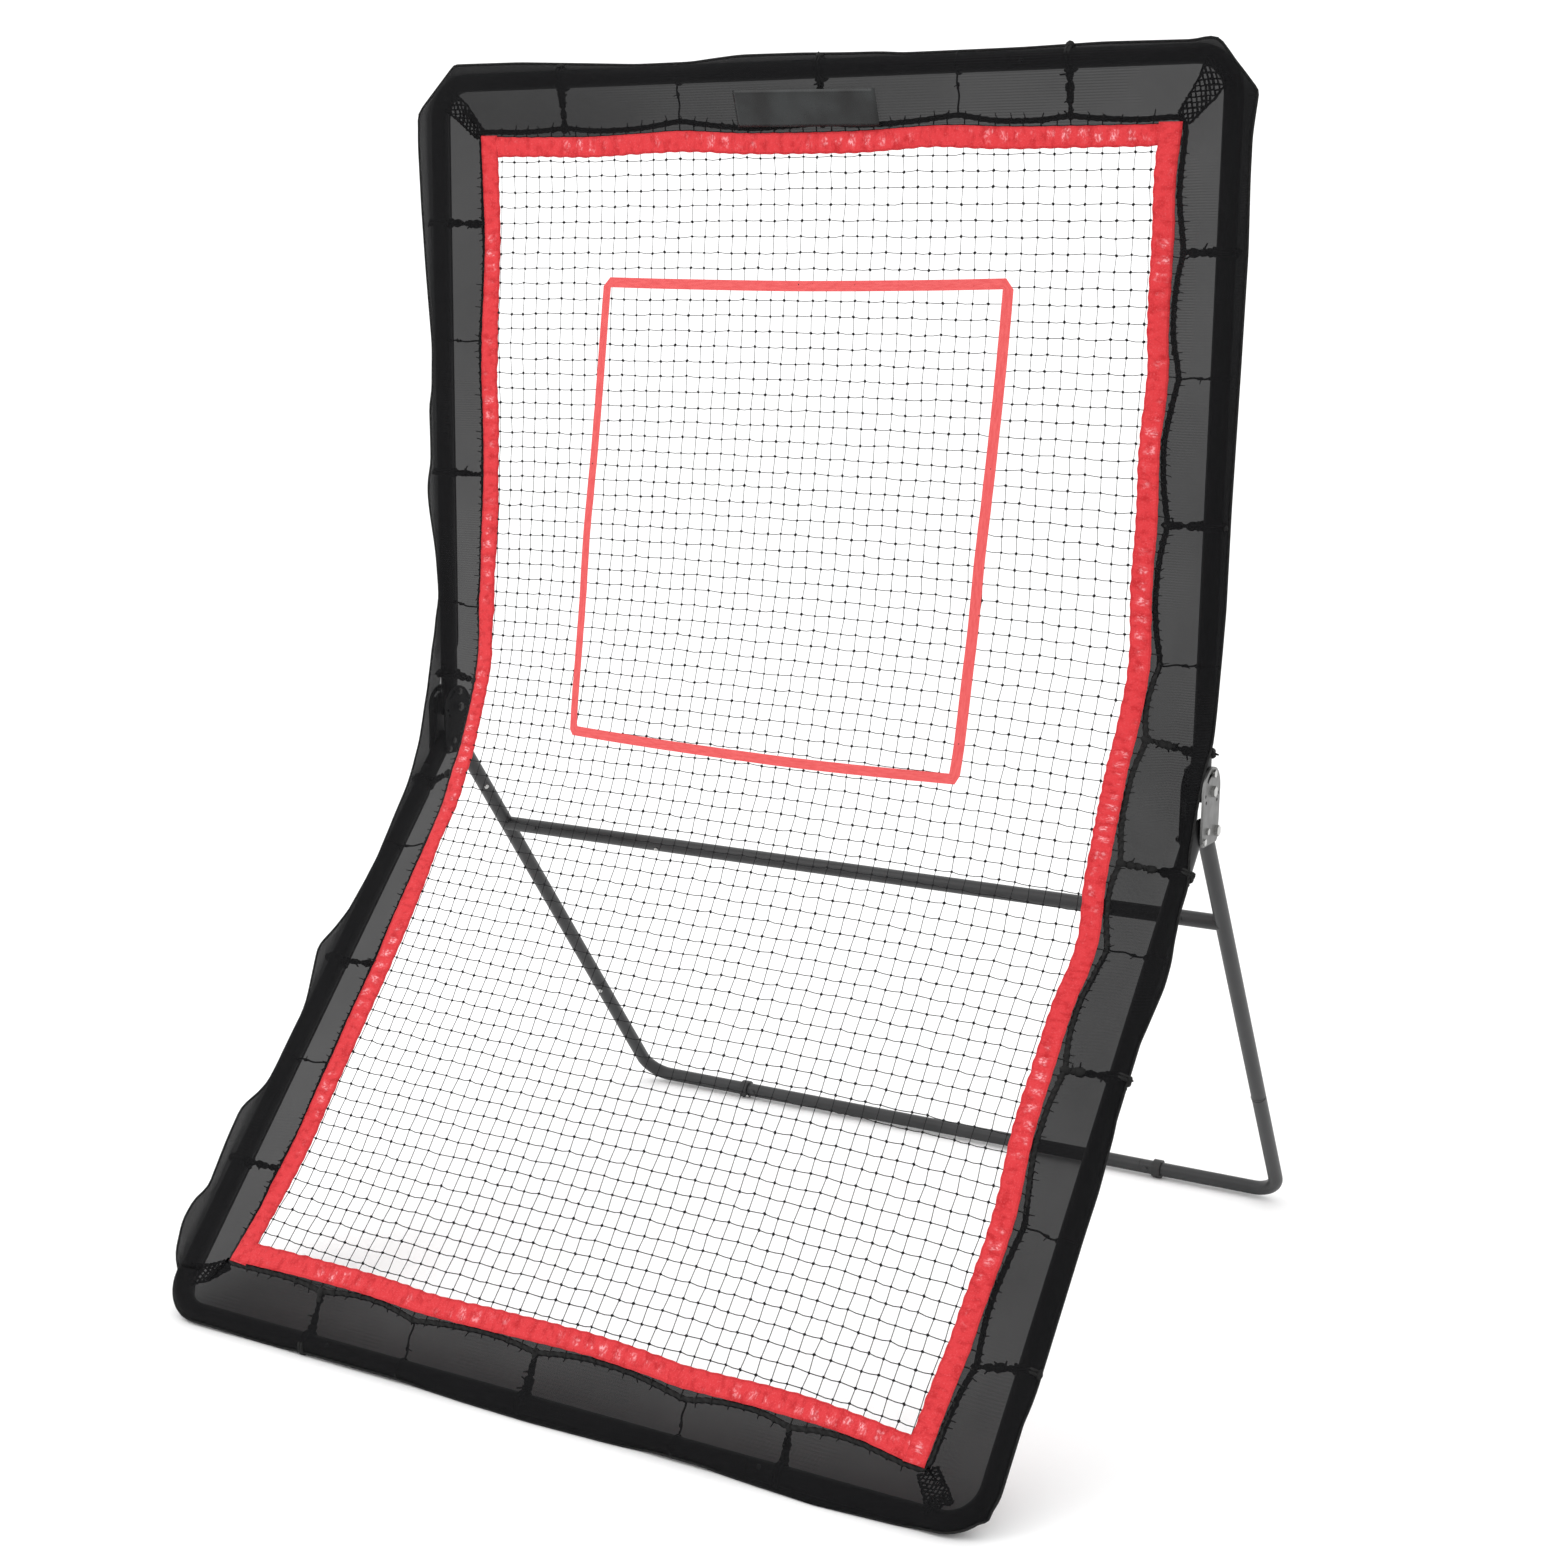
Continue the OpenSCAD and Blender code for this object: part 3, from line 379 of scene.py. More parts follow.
def red_border():
    f = Finish("border_red", Specular_IOR_Level=0.15)
    along, across, _ = f.parts(f.place("UV"))
    here, flat = f.place(), f.place("UV")
    speck_relief_and_light = f.grain(here, 460, 4, 0.75)
    creases = f.grain(f.stretch(flat, (95, 1.6, 1)), 1, 4, 0.6)
    groups = f.grain(f.stretch(flat, (9, 0.5, 1)), 1, 2).between(0.44, 0.60)
    single = f.grain(f.stretch(flat, (60, 1.7, 1)), 1, 2).between(0.36, 0.62)
    press = (along * (math.tau / (PITCH * MM)) + 5.5 * creases).wave().between(-0.5, 0.5)
    middle = 1 - (across - 0.54 + 0.5 * (creases - 0.5)).size().between(0.14, 0.36)
    strokes = f.grain(f.stretch(flat, (330, 5, 1)), 1, 3, 0.6).between(0.47, 0.58)
    glint = groups * single * press * middle * (0.12 + 0.88 * strokes)
    seam = 1 - ((across - 0.5).size() - 0.42).size().between(0.006, 0.022)
    level, upright = along * (math.tau / BORDER_THREAD), across * (math.tau * BORDER_W / BORDER_THREAD)
    weave = level.wave() + upright.wave()
    # Painted shade and painted light: the tape is darker red in the low parts of its creases and lighter on
    # the raised specks, which also make its relief.
    painted_shading = f.tint(creases.between(0.30, 0.56), (0.455, 0.014, 0.019), (0.61, 0.034, 0.041))
    painted_shading = f.tint(speck_relief_and_light.between(0.5, 0.78) * 0.8, painted_shading, (0.73, 0.105, 0.115))
    painted_shading = f.tint(seam * 0.4, painted_shading, (0.40, 0.012, 0.016))
    f.wear(Base_Color=f.tint(glint * 0.78, painted_shading, (0.92, 0.46, 0.49)), Roughness=0.55 - 0.1 * glint,
           Normal=f.relief(creases * 0.9 + 0.25 * speck_relief_and_light + 0.04 * weave - 0.25 * seam, 0.0012, 0.45))
    return f


def coral_tape():
    f = Finish("zone_tape", Specular_IOR_Level=0.15)
    along, across, _ = f.parts(f.place("UV"))
    weave = (along * (math.tau / ZONE_THREAD)).wave() * (across * (math.tau * ZONE_THREADS_ACROSS)).wave()
    shaded_streaks = f.grain(f.stretch(f.place("UV"), (60, 5, 1)), 1, 4, 0.6)
    # Painted shade: the coral is darker along the low parts of slow streaks, which also make the tape's
    # relief.
    f.wear(Base_Color=f.tint(shaded_streaks.between(0.35, 0.65), (0.67, 0.086, 0.088), (0.74, 0.118, 0.118)),
           Roughness=0.62, Normal=f.relief(weave + 2 * shaded_streaks, 0.0003, 0.4))
    return f


border_red, zone_tape = red_border(), coral_tape()
print("tape finishes made")

# %% [markdown]
# The cover is black knitted mesh that the eye half looks through, though only a small share of it is
# holes. The holes are in the Alpha, at the real spacing, and the yarn itself is almost black and
# dry, so that the tubes still show as darker shapes behind it. A slow wave in the yarn count gives
# the faint level lines such mesh shows, and high up the cloth is stretched a little more on the
# right than on the left. Over the hem it is pulled open and lets more through, which a vertex
# attribute named `open` says. The label is bare vinyl, and a soft sheen is painted into its colour
# as slow lighter patches.
# %% Mesh and label finishes
HOLE_PITCH, COURSE_PITCH = 0.0016, 0.0034


def knitted_mesh():
    f = Finish("cover_mesh", Specular_IOR_Level=0.08, Roughness=0.85)
    along, across, _ = f.parts(f.place("UV"))
    pulled = f.node("Attribute", {"attribute_name": "open"}, output=2)
    holes = (along * (math.tau / HOLE_PITCH)).wave() * (across * (math.tau / HOLE_PITCH)).wave()
    hole = holes.between(0.25, 0.75)
    here = f.place()
    across_frame, _, height = f.parts(here)
    patches = f.grain(here, 7, 3)
    courses = (height * (math.tau / COURSE_PITCH) + 2.2 * patches).wave() * patches.between(0.35, 0.65)
    courses = courses * (0.3 + 0.7 * height.between(0.65, 0.85))
    creases = f.grain(f.stretch(f.place("UV"), (5, 9, 1)), 1, 3, 0.55)
    right, high = across_frame.between(-0.6, 0.6), height.between(1.05, 1.35)
    stretched = 1 + (0.50 * right - 0.32) * high
    see_through = (0.020 + 0.09 * hole + 0.010 * courses + 0.032 * creases) * stretched + 0.14 * pulled
    f.wear(Base_Color=f.tint(patches, (0.0045, 0.0045, 0.005), (0.0075, 0.0075, 0.008)),
           Alpha=1 - see_through, Normal=f.relief(holes + 0.3 * courses, 0.0003, 0.5))
    return f


def bare_vinyl():
    f = Finish("label_vinyl", Specular_IOR_Level=0.35)
    press = f.grain(f.place(), 120, 3)
    # Painted sheen: slow lighter patches in the vinyl's colour stand for a soft reflection.
    sheen = f.grain(f.place(), 16, 2).between(0.35, 0.65)
    f.wear(Base_Color=f.tint(sheen, (0.002, 0.002, 0.0022), (0.016, 0.018, 0.0185)),
           Roughness=0.22 + 0.12 * press, Normal=f.relief(press, 0.0006, 0.3))
    return f


cover_mesh, label_vinyl = knitted_mesh(), bare_vinyl()
print("mesh and label finishes made")

# %% [markdown]
# Each CAD node names a material slot in the record. The imported shapes stay, so a node only needs
# its finish swapped for the better one of the same name. The plates on the net's side of the tubes
# take the black of the frame, and the screws in the dark leg are coated; so they are named themselves.
# %% Dress the CAD nodes
FINISHES = {
    "frame_enamel": frame_enamel, "leg_enamel": leg_enamel, "plate_steel": plate_steel, "zinc": zinc,
    "spring_steel": spring_steel, "ring_plastic": ring_plastic, "net_cord": net_cord,
    "zone_tape": zone_tape, "border_red": border_red, "rope_black": rope_black,
    "cover_mesh": cover_mesh, "label_vinyl": label_vinyl,
    "bracket_inner_left": frame_enamel, "bracket_inner_right": frame_enamel, "leg_screws": leg_enamel,
}
slots = {row["node"]: row["material_slot"] for row in frame["record"]["subparts"]}
for name, node in frame["nodes"].items():
    if not node.material_slots:
        node.data.materials.append(None)
    for slot in node.material_slots:
        slot.material = (FINISHES.get(name) or FINISHES[slots[name]]).material
print("dressed", len(slots), "CAD nodes")

# %% [markdown]
# Cords are made by rolling a flat grid round a line. The grid operator gives clean rows of faces
# and a UV map, and only the places of its vertices are worked out. Cloth is the same grid laid out by
# a place function. Small shapes are gathered in one `Bundle`, so that a thousand knots become one
# piece. What crosses the fold is blended from one half frame to the other over a short stretch.
# %% Helpers for cords and cloth
LOBE_DEPTH = 0.14


class Bundle:
    """Gathers small shapes into one mesh."""

    def __init__(self):
        self.all = bmesh.new()
        self.all.loops.layers.uv.new("UVMap")
        self.scratch = bpy.data.meshes.new("scratch")

    def take(self, shape):
        shape.to_mesh(self.scratch)
        self.all.from_mesh(self.scratch)
        shape.free()

    def piece(self, name, finish):
        bpy.data.meshes.remove(self.scratch)
        return finished(name, self.all, finish)


def finished(name, shape, finish, smooth=True):
    mesh = bpy.data.meshes.new(name)
    shape.to_mesh(mesh)
    shape.free()
    if smooth:
        mesh.shade_smooth()
    mesh.materials.append(finish.material)
    made = bpy.data.objects.new(name, mesh)
    bpy.context.scene.collection.objects.link(made)
    print(name, len(mesh.vertices), "vertices")
    return made


def new_shape():
    shape = bmesh.new()
    shape.loops.layers.uv.new("UVMap")
    return shape


def rolled_cord(line, radius, sides=6, lobes=0, lay=0.012, closed=False):
    """A flat grid rolled up round a line of points."""
    shape = new_shape()
    count = len(line)
    bmesh.ops.create_grid(shape, x_segments=count - 1, y_segments=sides, size=0.5, calc_uvs=True)
    reach = [0.0]
    for a, b in zip(line, line[1:]):
        reach.append(reach[-1] + (b - a).length)
    ahead = [(line[min(k + 1, count - 1)] - line[max(k - 1, 0)]).normalized() for k in range(count)]
    side = ahead[0].orthogonal().normalized()
    frames = []
    for direction in ahead:
        side = (side - side.dot(direction) * direction).normalized()
        frames.append((side, direction.cross(side)))
    for vert in shape.verts:
        k, turn = round((vert.co.x + 0.5) * (count - 1)), (vert.co.y + 0.5) * math.tau
        r = radius(k / (count - 1)) if callable(radius) else radius
        if lobes:
            r *= 1 + LOBE_DEPTH * math.cos(lobes * turn - math.tau * reach[k] / lay * lobes)
        along, up = frames[k]
        vert.co = line[k] + r * (math.cos(turn) * along - math.sin(turn) * up)
    uv = shape.loops.layers.uv.active
    for face in shape.faces:
        for loop in face.loops:
            loop[uv].uv.x *= reach[-1]
    bmesh.ops.remove_doubles(shape, verts=shape.verts, dist=1e-6)
    if not closed:
        rim = [e for e in shape.edges if e.is_boundary]
        bmesh.ops.holes_fill(shape, edges=rim, sides=0)
    return shape


def ring_cord(line, radius, **more):
    """A cord whose end meets its start."""
    shape = rolled_cord(line + [line[0]], radius, closed=True, **more)
    bmesh.ops.remove_doubles(shape, verts=shape.verts, dist=1e-4)
    return shape


def cloth(rows, columns, place, size):
    """A grid of cloth: place(u, v) puts each vertex, u and v from 0 to 1; size is its real size."""
    shape = new_shape()
    bmesh.ops.create_grid(shape, x_segments=rows, y_segments=columns, size=0.5, calc_uvs=True)
    spots = [(vert, vert.co.x + 0.5, vert.co.y + 0.5) for vert in shape.verts]
    for vert, u, v in spots:
        vert.co = place(u, v)
    uv = shape.loops.layers.uv.active
    for face in shape.faces:
        for loop in face.loops:
            loop[uv].uv = (loop[uv].uv.x * size[0], loop[uv].uv.y * size[1])
    return shape


def bend(piece):
    """Bakes a soft piece's place into its mesh."""
    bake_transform(piece)


def mix(a, b, t):
    """The value a share t of the way from a to b."""
    return a + (b - a) * t


def stepped(stops, value):
    """Straight-line reading of a given list of (place, amount)."""
    for (p, a), (q, b) in zip(stops, stops[1:]):
        if value <= q:
            return mix(a, b, max(0.0, (value - p) / (q - p)))
    return stops[-1][1]


print("helpers ready")

# %% [markdown]
# The net itself: 47 upright and 78 level strands, tied where they cross. Real netting is never
# perfectly square, so each crossing is moved by up to a millimetre from a seeded draw, and the
# level strands, which carry less load, sag a little between the knots.
# %% Net strands and knots
draw = random.Random(7)


def jitter(size):
    """A small random step in any direction."""
    return Vector((draw.uniform(-size, size), draw.uniform(-size, size), draw.uniform(-size, size)))


COLUMNS = [1.5 + PITCH * (i - 3) for i in range(-20, 27)]
NET_ROWS = list(range(-1, 80))
STRAY, STRAY_ROWS = 1.1, 0.055  # how far a crossing is off, in mm across and in rows
UNDER_TAPE = 1.1  # rows that run on under the border
LEVEL_END = 512  # how far across a level strand ends, in mm
UPRIGHT_R, LEVEL_R, KNOT_R = (0.00034, 0.00056), (0.00046, 0.00066), (0.0017, 0.0023)
crossings = {}
for i, x in enumerate(COLUMNS):
    for r in NET_ROWS:
        crossings[i, r] = (x + draw.uniform(-STRAY, STRAY), r + draw.uniform(-STRAY_ROWS, STRAY_ROWS))


def edge_row(x, down):
    """The row at which the net goes under the top or bottom border."""
    if not down:
        return FIRST_ROW - UNDER_TAPE
    side = LAST_ROW["left"] if x < 0 else LAST_ROW["right"]
    return mix(LAST_ROW["middle"], side, (x / NET_HALF_W) ** 2) + UNDER_TAPE


def within(x, row, margin=0.0):
    """Whether a row still lies inside the border's sewn edges there."""
    return edge_row(x, False) + margin < row < edge_row(x, True) - margin


uprights, levels, knots = Bundle(), Bundle(), Bundle()
for i, x in enumerate(COLUMNS):
    line = [net_point(x, edge_row(x, False))]
    line += [net_point(*crossings[i, r]) for r in NET_ROWS if within(x, r)]
    line += [net_point(x, edge_row(x, True))]
    uprights.take(rolled_cord(line, lambda t: mix(*UPRIGHT_R, t), sides=5))

for r in NET_ROWS:
    line = []
    for i, x in enumerate(COLUMNS):
        if within(x, r):
            here = crossings[i, r]
            if line:
                before = crossings[i - 1, r]
                sag = draw.uniform(0.0, 0.06)
                line.append(net_point((here[0] + before[0]) / 2, (here[1] + before[1]) / 2 + sag))
            line.append(net_point(*here))
    if len(line) > 20 and within(-500, r):
        line.insert(0, net_point(-LEVEL_END, r))
    if len(line) > 20 and within(500, r):
        line.append(net_point(LEVEL_END, r))
    if len(line) > 3:
        levels.take(rolled_cord(line, mix(*LEVEL_R, r / 78), sides=5))

for r in NET_ROWS:
    row_of_knots = new_shape()
    for i, x in enumerate(COLUMNS):
        if within(x, r, 0.9):
            size = draw.uniform(*KNOT_R)
            turn = Matrix.Rotation(draw.uniform(0, math.tau), 4, "Y")
            spot = Matrix.Translation(net_point(*crossings[i, r]))
            bmesh.ops.create_icosphere(row_of_knots, subdivisions=1, radius=size,
                                       matrix=spot @ turn @ Matrix.Diagonal((1.15, 0.85, 0.95, 1)))
    knots.take(row_of_knots)

upright_strands = uprights.piece("net_upright_strands", net_cord)
level_strands = levels.piece("net_level_strands", net_cord)
net_knots = knots.piece("net_knots", net_cord)
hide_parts("net_upper", "net_fold", "net_lower")
for piece in (upright_strands, level_strands, net_knots):
    bend(piece)

# %% [markdown]
# The strike zone is one long tape sewn on the front of the net in a frame, its corners folded so
# that they look cut. It is a ring: stations run round it, each with a place on the inner and the
# outer edge, and the ring is laid on the net's surface.
# %% Strike zone tape
CUT = 11.0  # how much of each corner is folded away, in mm
ZONE_W, ZONE_ROUND, ZONE_LIFT, ZONE_THICK = 0.0135, 2.53, 0.0016, 0.0007
UPRIGHT_STEPS, LEVEL_STEPS = 70, 66
LAP_FROM, LAP_TO, LAP_RISE = -8, 14, 0.0009  # where the tape's ends overlap on the bottom side
TAPE = {"left": 12.0, "right": 15.0, "top": 14.0, "bottom": 13.0}  # width of each side, in mm
ZONE = {  # the outer edge of each side, in mm across or in height
    "left": smooth_line([740, 800, 900, 1000, 1100, 1200, 1300, 1395],
                        [(-306,), (-316,), (-326,), (-330,), (-327,), (-323,), (-317,), (-312,)]),
    "right": smooth_line([740, 800, 900, 1000, 1100, 1200, 1300, 1395],
                         [(311,), (310,), (304,), (303,), (307,), (311,), (314,), (317,)]),
    "top": smooth_line([-320, -200, 0, 200, 320], [(1391,), (1389,), (1387.5,), (1390,), (1393,)]),
    "bottom": smooth_line([-320, -100, 100, 320], [(747.5,), (745,), (742.5,), (743.5,)]),
}


def zone_edge(side, at):
    return ZONE[side](at)[0]


def zone_inside(x, z):
    """The inner edge of the tape beside a place on its outer edge."""
    left, right = zone_edge("left", z) + TAPE["left"], zone_edge("right", z) - TAPE["right"]
    low, high = zone_edge("bottom", x) + TAPE["bottom"], zone_edge("top", x) - TAPE["top"]
    return min(max(x, left), right), min(max(z, low), high)


def zone_stations():
    """(outer x, outer z, inner x, inner z) round the tape, in mm, with z as a height."""
    low, high = zone_edge("bottom", 0) + CUT, zone_edge("top", 0) + 2 - CUT
    upright = [low + (high - low) * n / UPRIGHT_STEPS for n in range(UPRIGHT_STEPS + 1)]
    near, far = zone_edge("left", high) + CUT, zone_edge("right", high) - CUT
    level = [near + (far - near) * n / LEVEL_STEPS for n in range(LEVEL_STEPS + 1)]
    out = [(zone_edge("left", z), z) for z in upright]
    out += [(x, zone_edge("top", x)) for x in level]
    out += [(zone_edge("right", z), z) for z in reversed(upright)]
    out += [(x, zone_edge("bottom", x)) for x in reversed(level)]
    return [(x, z, *zone_inside(x, z)) for x, z in out + out[:1]]


zone_line = zone_stations()


def on_net(x, z, lift):
    row = row_where(x, lambda p: -p.z / MM, -z)
    return net_point(x, row) + net_normal(x, row) * lift


def zone_place(u, v):
    x1, z1, x0, z0 = zone_line[round(u * (len(zone_line) - 1))]
    waver = 0.0005 * noise.noise(Vector((x1 * 0.05, z1 * 0.05, v)))
    lap = LAP_RISE if z1 < 800 and LAP_FROM < x1 < LAP_TO else 0.0
    return on_net(mix(x0, x1, v), mix(z0, z1, v), ZONE_LIFT + waver + lap)


zone_shape = cloth(len(zone_line) - 1, 3, zone_place, (ZONE_ROUND, 1.0))
bmesh.ops.remove_doubles(zone_shape, verts=zone_shape.verts, dist=1e-6)
bmesh.ops.recalc_face_normals(zone_shape, faces=zone_shape.faces)
bmesh.ops.solidify(zone_shape, geom=zone_shape.faces[:], thickness=ZONE_THICK)
zone_ring = finished("zone_tape_ring", zone_shape, zone_tape, smooth=False)
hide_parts("strike_zone")
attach(zone_ring, "upper_frame")
print("zone stations", len(zone_line))

# %% [markdown]
# Thirty ties hold the net in its frame, and everything at its edge follows them: the tape, the rope
# and the cover. A place beside the frame is a distance q from the fold, up the upper half when it is
# above 0 and down the lower half when it is below. `row_beside` gives the net's row there, read from
# a table, because the search for a row is slow.
# %% Ties and the rows beside the frame
TIES = {  # place on the tube, place on the rope, T for a thick tie and t for a thin one
    "left": [(754, 752, "T"), (584, 584, "t"), (390, 390, "T"), (195, 192, "t"), (84, 84, "T"),
             (-98, -98, "T"), (-215, -215, "t"), (-410, -410, "T"), (-571, -571, "t"), (-733, -733, "T")],
    "right": [(712, 712, "T"), (558, 558, "t"), (374, 375, "T"), (196, 198, "t"), (84, 108, "T"),
              (-90, -116, "T"), (-214, -221, "t"), (-382, -393, "T"), (-600, -592, "t"), (-762, -770, "T")],
    "top": [(-385, -385, "T"), (-193, -193, "t"), (29, 29, "T"), (230, 230, "t"), (385, 385, "T")],
    "bottom": [(-363, -363, "T"), (-209, -209, "t"), (-20, -20, "T"), (203, 203, "t"), (346, 346, "T")],
}


TAPE_X = 516  # the middle of a side strip, in mm across
FREE_UPPER, FREE_LOWER = 92, 98  # how far from the fold the net hangs free of each half frame


def side_row(side, q):
    """The net row beside a place q on the frame: above the fold q is s, below it -s."""
    x = side * TAPE_X
    if q >= FREE_UPPER:
        return row_at(x, True, q)
    if q <= -FREE_LOWER:
        return row_at(x, False, -q)
    top, low = row_at(x, True, FREE_UPPER), row_at(x, False, FREE_LOWER)
    return mix(low, top, (q + FREE_LOWER) / (FREE_UPPER + FREE_LOWER))


SIDE_STOPS = list(range(879, -908, -6))
ROW_TABLE = {side: smooth_line([-q for q in SIDE_STOPS], [(side_row(side, q),) for q in SIDE_STOPS])
             for side in (-1, 1)}


def row_beside(side, q):
    return ROW_TABLE[side](-q)[0]


def side_normal(side, row):
    return net_normal(side * TAPE_X, row)


print("ties", sum(len(edge) for edge in TIES.values()))

# %% [markdown]
# The red border is a tape folded over the net's edge. Its edges aren't straight: every tie draws the
# outer edge towards the tube, and the net draws it in between. Given lists say where both edges
# run, and the small bites of the net's strands come from a wave at the mesh pitch and noise.
# %% Where the border's edges run
# side tubes: (place beside the frame, inner edge, outer edge across), in mm
SIDE_TAPE = {
    -1: [(-890, 494, 523), (-800, 496, 523), (-750, 497, 528), (-660, 496, 527), (-571, 496, 527),
         (-480, 498, 531), (-393, 497, 529), (-350, 496, 530), (-260, 496, 526), (-209, 497, 522),
         (-150, 491, 520), (-98, 493, 524), (-60, 492, 522), (0, 493, 521), (60, 491, 519),
         (120, 490, 519), (160, 495, 522), (195, 495, 526), (240, 498, 526), (290, 495, 526),
         (340, 493, 524), (382, 495, 523), (475, 496, 525), (525, 498, 526), (570, 495, 524),
         (650, 494, 521), (735, 495, 522), (800, 499, 527), (880, 500, 529)],
    1: [(-905, 497, 525), (-800, 500, 528.5), (-750, 502.5, 531), (-710, 502.5, 530.5), (-620, 505, 533.5),
        (-571, 505.5, 534.5), (-480, 501.5, 530), (-393, 502, 530), (-300, 501, 528.5), (-260, 504.5, 531.5),
        (-209, 505.5, 532.5), (-150, 500, 528), (-98, 500, 528), (0, 500.5, 529), (60, 502, 529.5),
        (120, 505.5, 533), (195, 506, 533.5), (240, 503, 530.5), (290, 501, 529), (382, 503.5, 531.5),
        (475, 502, 529.5), (525, 504, 532.5), (570, 504.5, 532), (610, 500.5, 528.5), (650, 499.5, 528),
        (735, 500.5, 529.5), (800, 502, 530.5), (880, 506, 537)],
}
# end tubes, upper and lower: (place across, inner edge, outer edge from the fold), in mm
END_TAPE = {
    True: [(-535, 846, 876), (-440, 845, 873), (-385, 843.5, 872), (-340, 842.5, 871.5), (-240, 846, 874.5),
           (-193, 847, 876.5), (-145, 845.5, 874), (-95, 842.5, 871), (0, 841, 869.5), (95, 841, 870),
           (193, 846, 874), (240, 844, 873.5), (290, 841.5, 870.5), (385, 841, 869), (490, 841, 868.5),
           (540, 842, 870)],
    False: [(-535, 846, 877), (-385, 845.5, 874), (-290, 846.5, 875), (-240, 849, 878), (-193, 852, 880),
            (-95, 850, 879), (45, 849.5, 877), (95, 851.5, 879), (145, 855, 882), (193, 858.5, 886),
            (290, 857, 885), (340, 857, 886), (385, 859.5, 887), (440, 864.5, 891), (490, 870, 899),
            (540, 876, 904)],
}
side_tape = {k: smooth_line([p[0] for p in pts], [p[1:] for p in pts]) for k, pts in SIDE_TAPE.items()}
end_tape = {k: smooth_line([p[0] for p in pts], [p[1:] for p in pts]) for k, pts in END_TAPE.items()}
SIDE_ENDS = {-1: (876.0, -877.5), 1: (870.0, -903.0)}  # where the side strips begin and end


def scallop(place, seed):
    """The small bites that the net's strands make in the sewn edge, in mm."""
    bite = 0.5 * math.sin(math.tau * place / PITCH + seed)
    return bite + 0.8 * noise.noise(Vector((place * 0.06, seed, 4.0)))


def side_edges(side, q):
    """Inner and outer edge of a side strip, as x in mm."""
    inner, outer = side_tape[side](q)
    return side * (inner + scallop(q, side)), side * (outer + 0.5 * scallop(q, side * 2.3))


def end_edges(x, top):
    """Inner and outer edge of an end strip, as distances from the fold."""
    inner, outer = end_tape[top](x)
    return inner + scallop(x, 5 + top), outer + 0.5 * scallop(x, 7 + top)


print("tape width", round(side_tape[1](0)[1] - side_tape[1](0)[0], 1), "mm beside the fold")

# %% [markdown]
# A side strip follows the net's surface from top to bottom, and the end strips run between them and
# a little lower, so that the side strips lap over them at the corners. Each is a grid of cloth laid
# on the net, puffed up a little by the net in it, and then given its thickness.
# %% Sew the border
SIDE_RUN, END_RUN = 1.78, 1.05  # length of a side strip and an end strip, in metres
SIDE_LIFT, END_LIFT, END_SHORT = 0.9, 0.1, 1.5  # in mm
SIDE_STEPS, END_STEPS, STRIP_STEPS = 440, 266, 8
TAPE_THICK = 0.0016


def puff(u, v, seed):
    """The tape's face, pushed up by the net under it, in mm; flat at both sewn edges."""
    free = math.sin(math.pi * min(1.0, max(0.0, v))) ** 0.6
    press = 0.45 * math.sin(math.tau * u / (PITCH * MM) + seed) * math.sin(math.pi * v) ** 2
    crumple = 0.9 * noise.noise(Vector((u * 55, v * 2.2, seed)))
    return free * (1.0 + press + crumple)


def side_strip(side):
    def place(u, v):
        q = mix(*SIDE_ENDS[side], u)
        row, x = row_beside(side, q), mix(*side_edges(side, q), v)
        return net_point(x, row) + net_normal(x, row) * (puff(u * SIDE_RUN, v, side) + SIDE_LIFT) * MM

    return cloth(SIDE_STEPS, STRIP_STEPS, place, (SIDE_RUN, 1.0))


def end_strip(top):
    left, right = (side_tape[side](SIDE_ENDS[side][not top])[1] for side in (-1, 1))

    def place(u, v):
        x = mix(END_SHORT - left, right - END_SHORT, u)
        row = row_at(x, top, mix(*end_edges(x, top), v))
        return net_point(x, row) + net_normal(x, row) * (puff(u * END_RUN, v, 5 + top) + END_LIFT) * MM

    return cloth(END_STEPS, STRIP_STEPS, place, (END_RUN, 1.0))


def sewn_tape(name, shape, flat, *nodes):
    """Gives a strip its thickness and finish, and hides the CAD nodes that it stands for."""
    bmesh.ops.recalc_face_normals(shape, faces=shape.faces)
    bmesh.ops.solidify(shape, geom=shape.faces[:], thickness=TAPE_THICK)
    tape = finished(name, shape, border_red)
    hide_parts(*nodes)
    return tape


border_left = sewn_tape("border_left", side_strip(-1), (BORDER_W, SIDE_RUN),
                        "band_upper_left", "band_lower_left", "band_fold")
border_right = sewn_tape("border_right", side_strip(1), (BORDER_W, SIDE_RUN),
                         "band_upper_right", "band_lower_right")
border_top = sewn_tape("border_top", end_strip(True), (END_RUN, BORDER_W), "band_top")
border_bottom = sewn_tape("border_bottom", end_strip(False), (END_RUN, BORDER_W), "band_bottom")
bend(border_left)
bend(border_right)
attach(border_top, "upper_frame")
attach(border_bottom, "lower_frame")

# %% [markdown]
# A black rope runs all round behind the border's outer edge. The net's strands are lashed to it, so
# it hugs the tape, and only the ties pull it away: `pull` says how much of that a place feels. On the
# right the lashings are longer and leave a gap. The rope is one closed line, rolled with three lobes
# that turn along it like real strands.
# %% Border rope
ROPE_R, ROPE_BEHIND = 0.0036, 0.0035
# how far the rope's middle lies outside the tape's edge between ties and at a tie, in mm
ROPE_GAP = {"left": (2.5, 4.5), "right": (3.5, 12.0), "top": (6.0, 12.0), "bottom": (2.5, 11.5)}


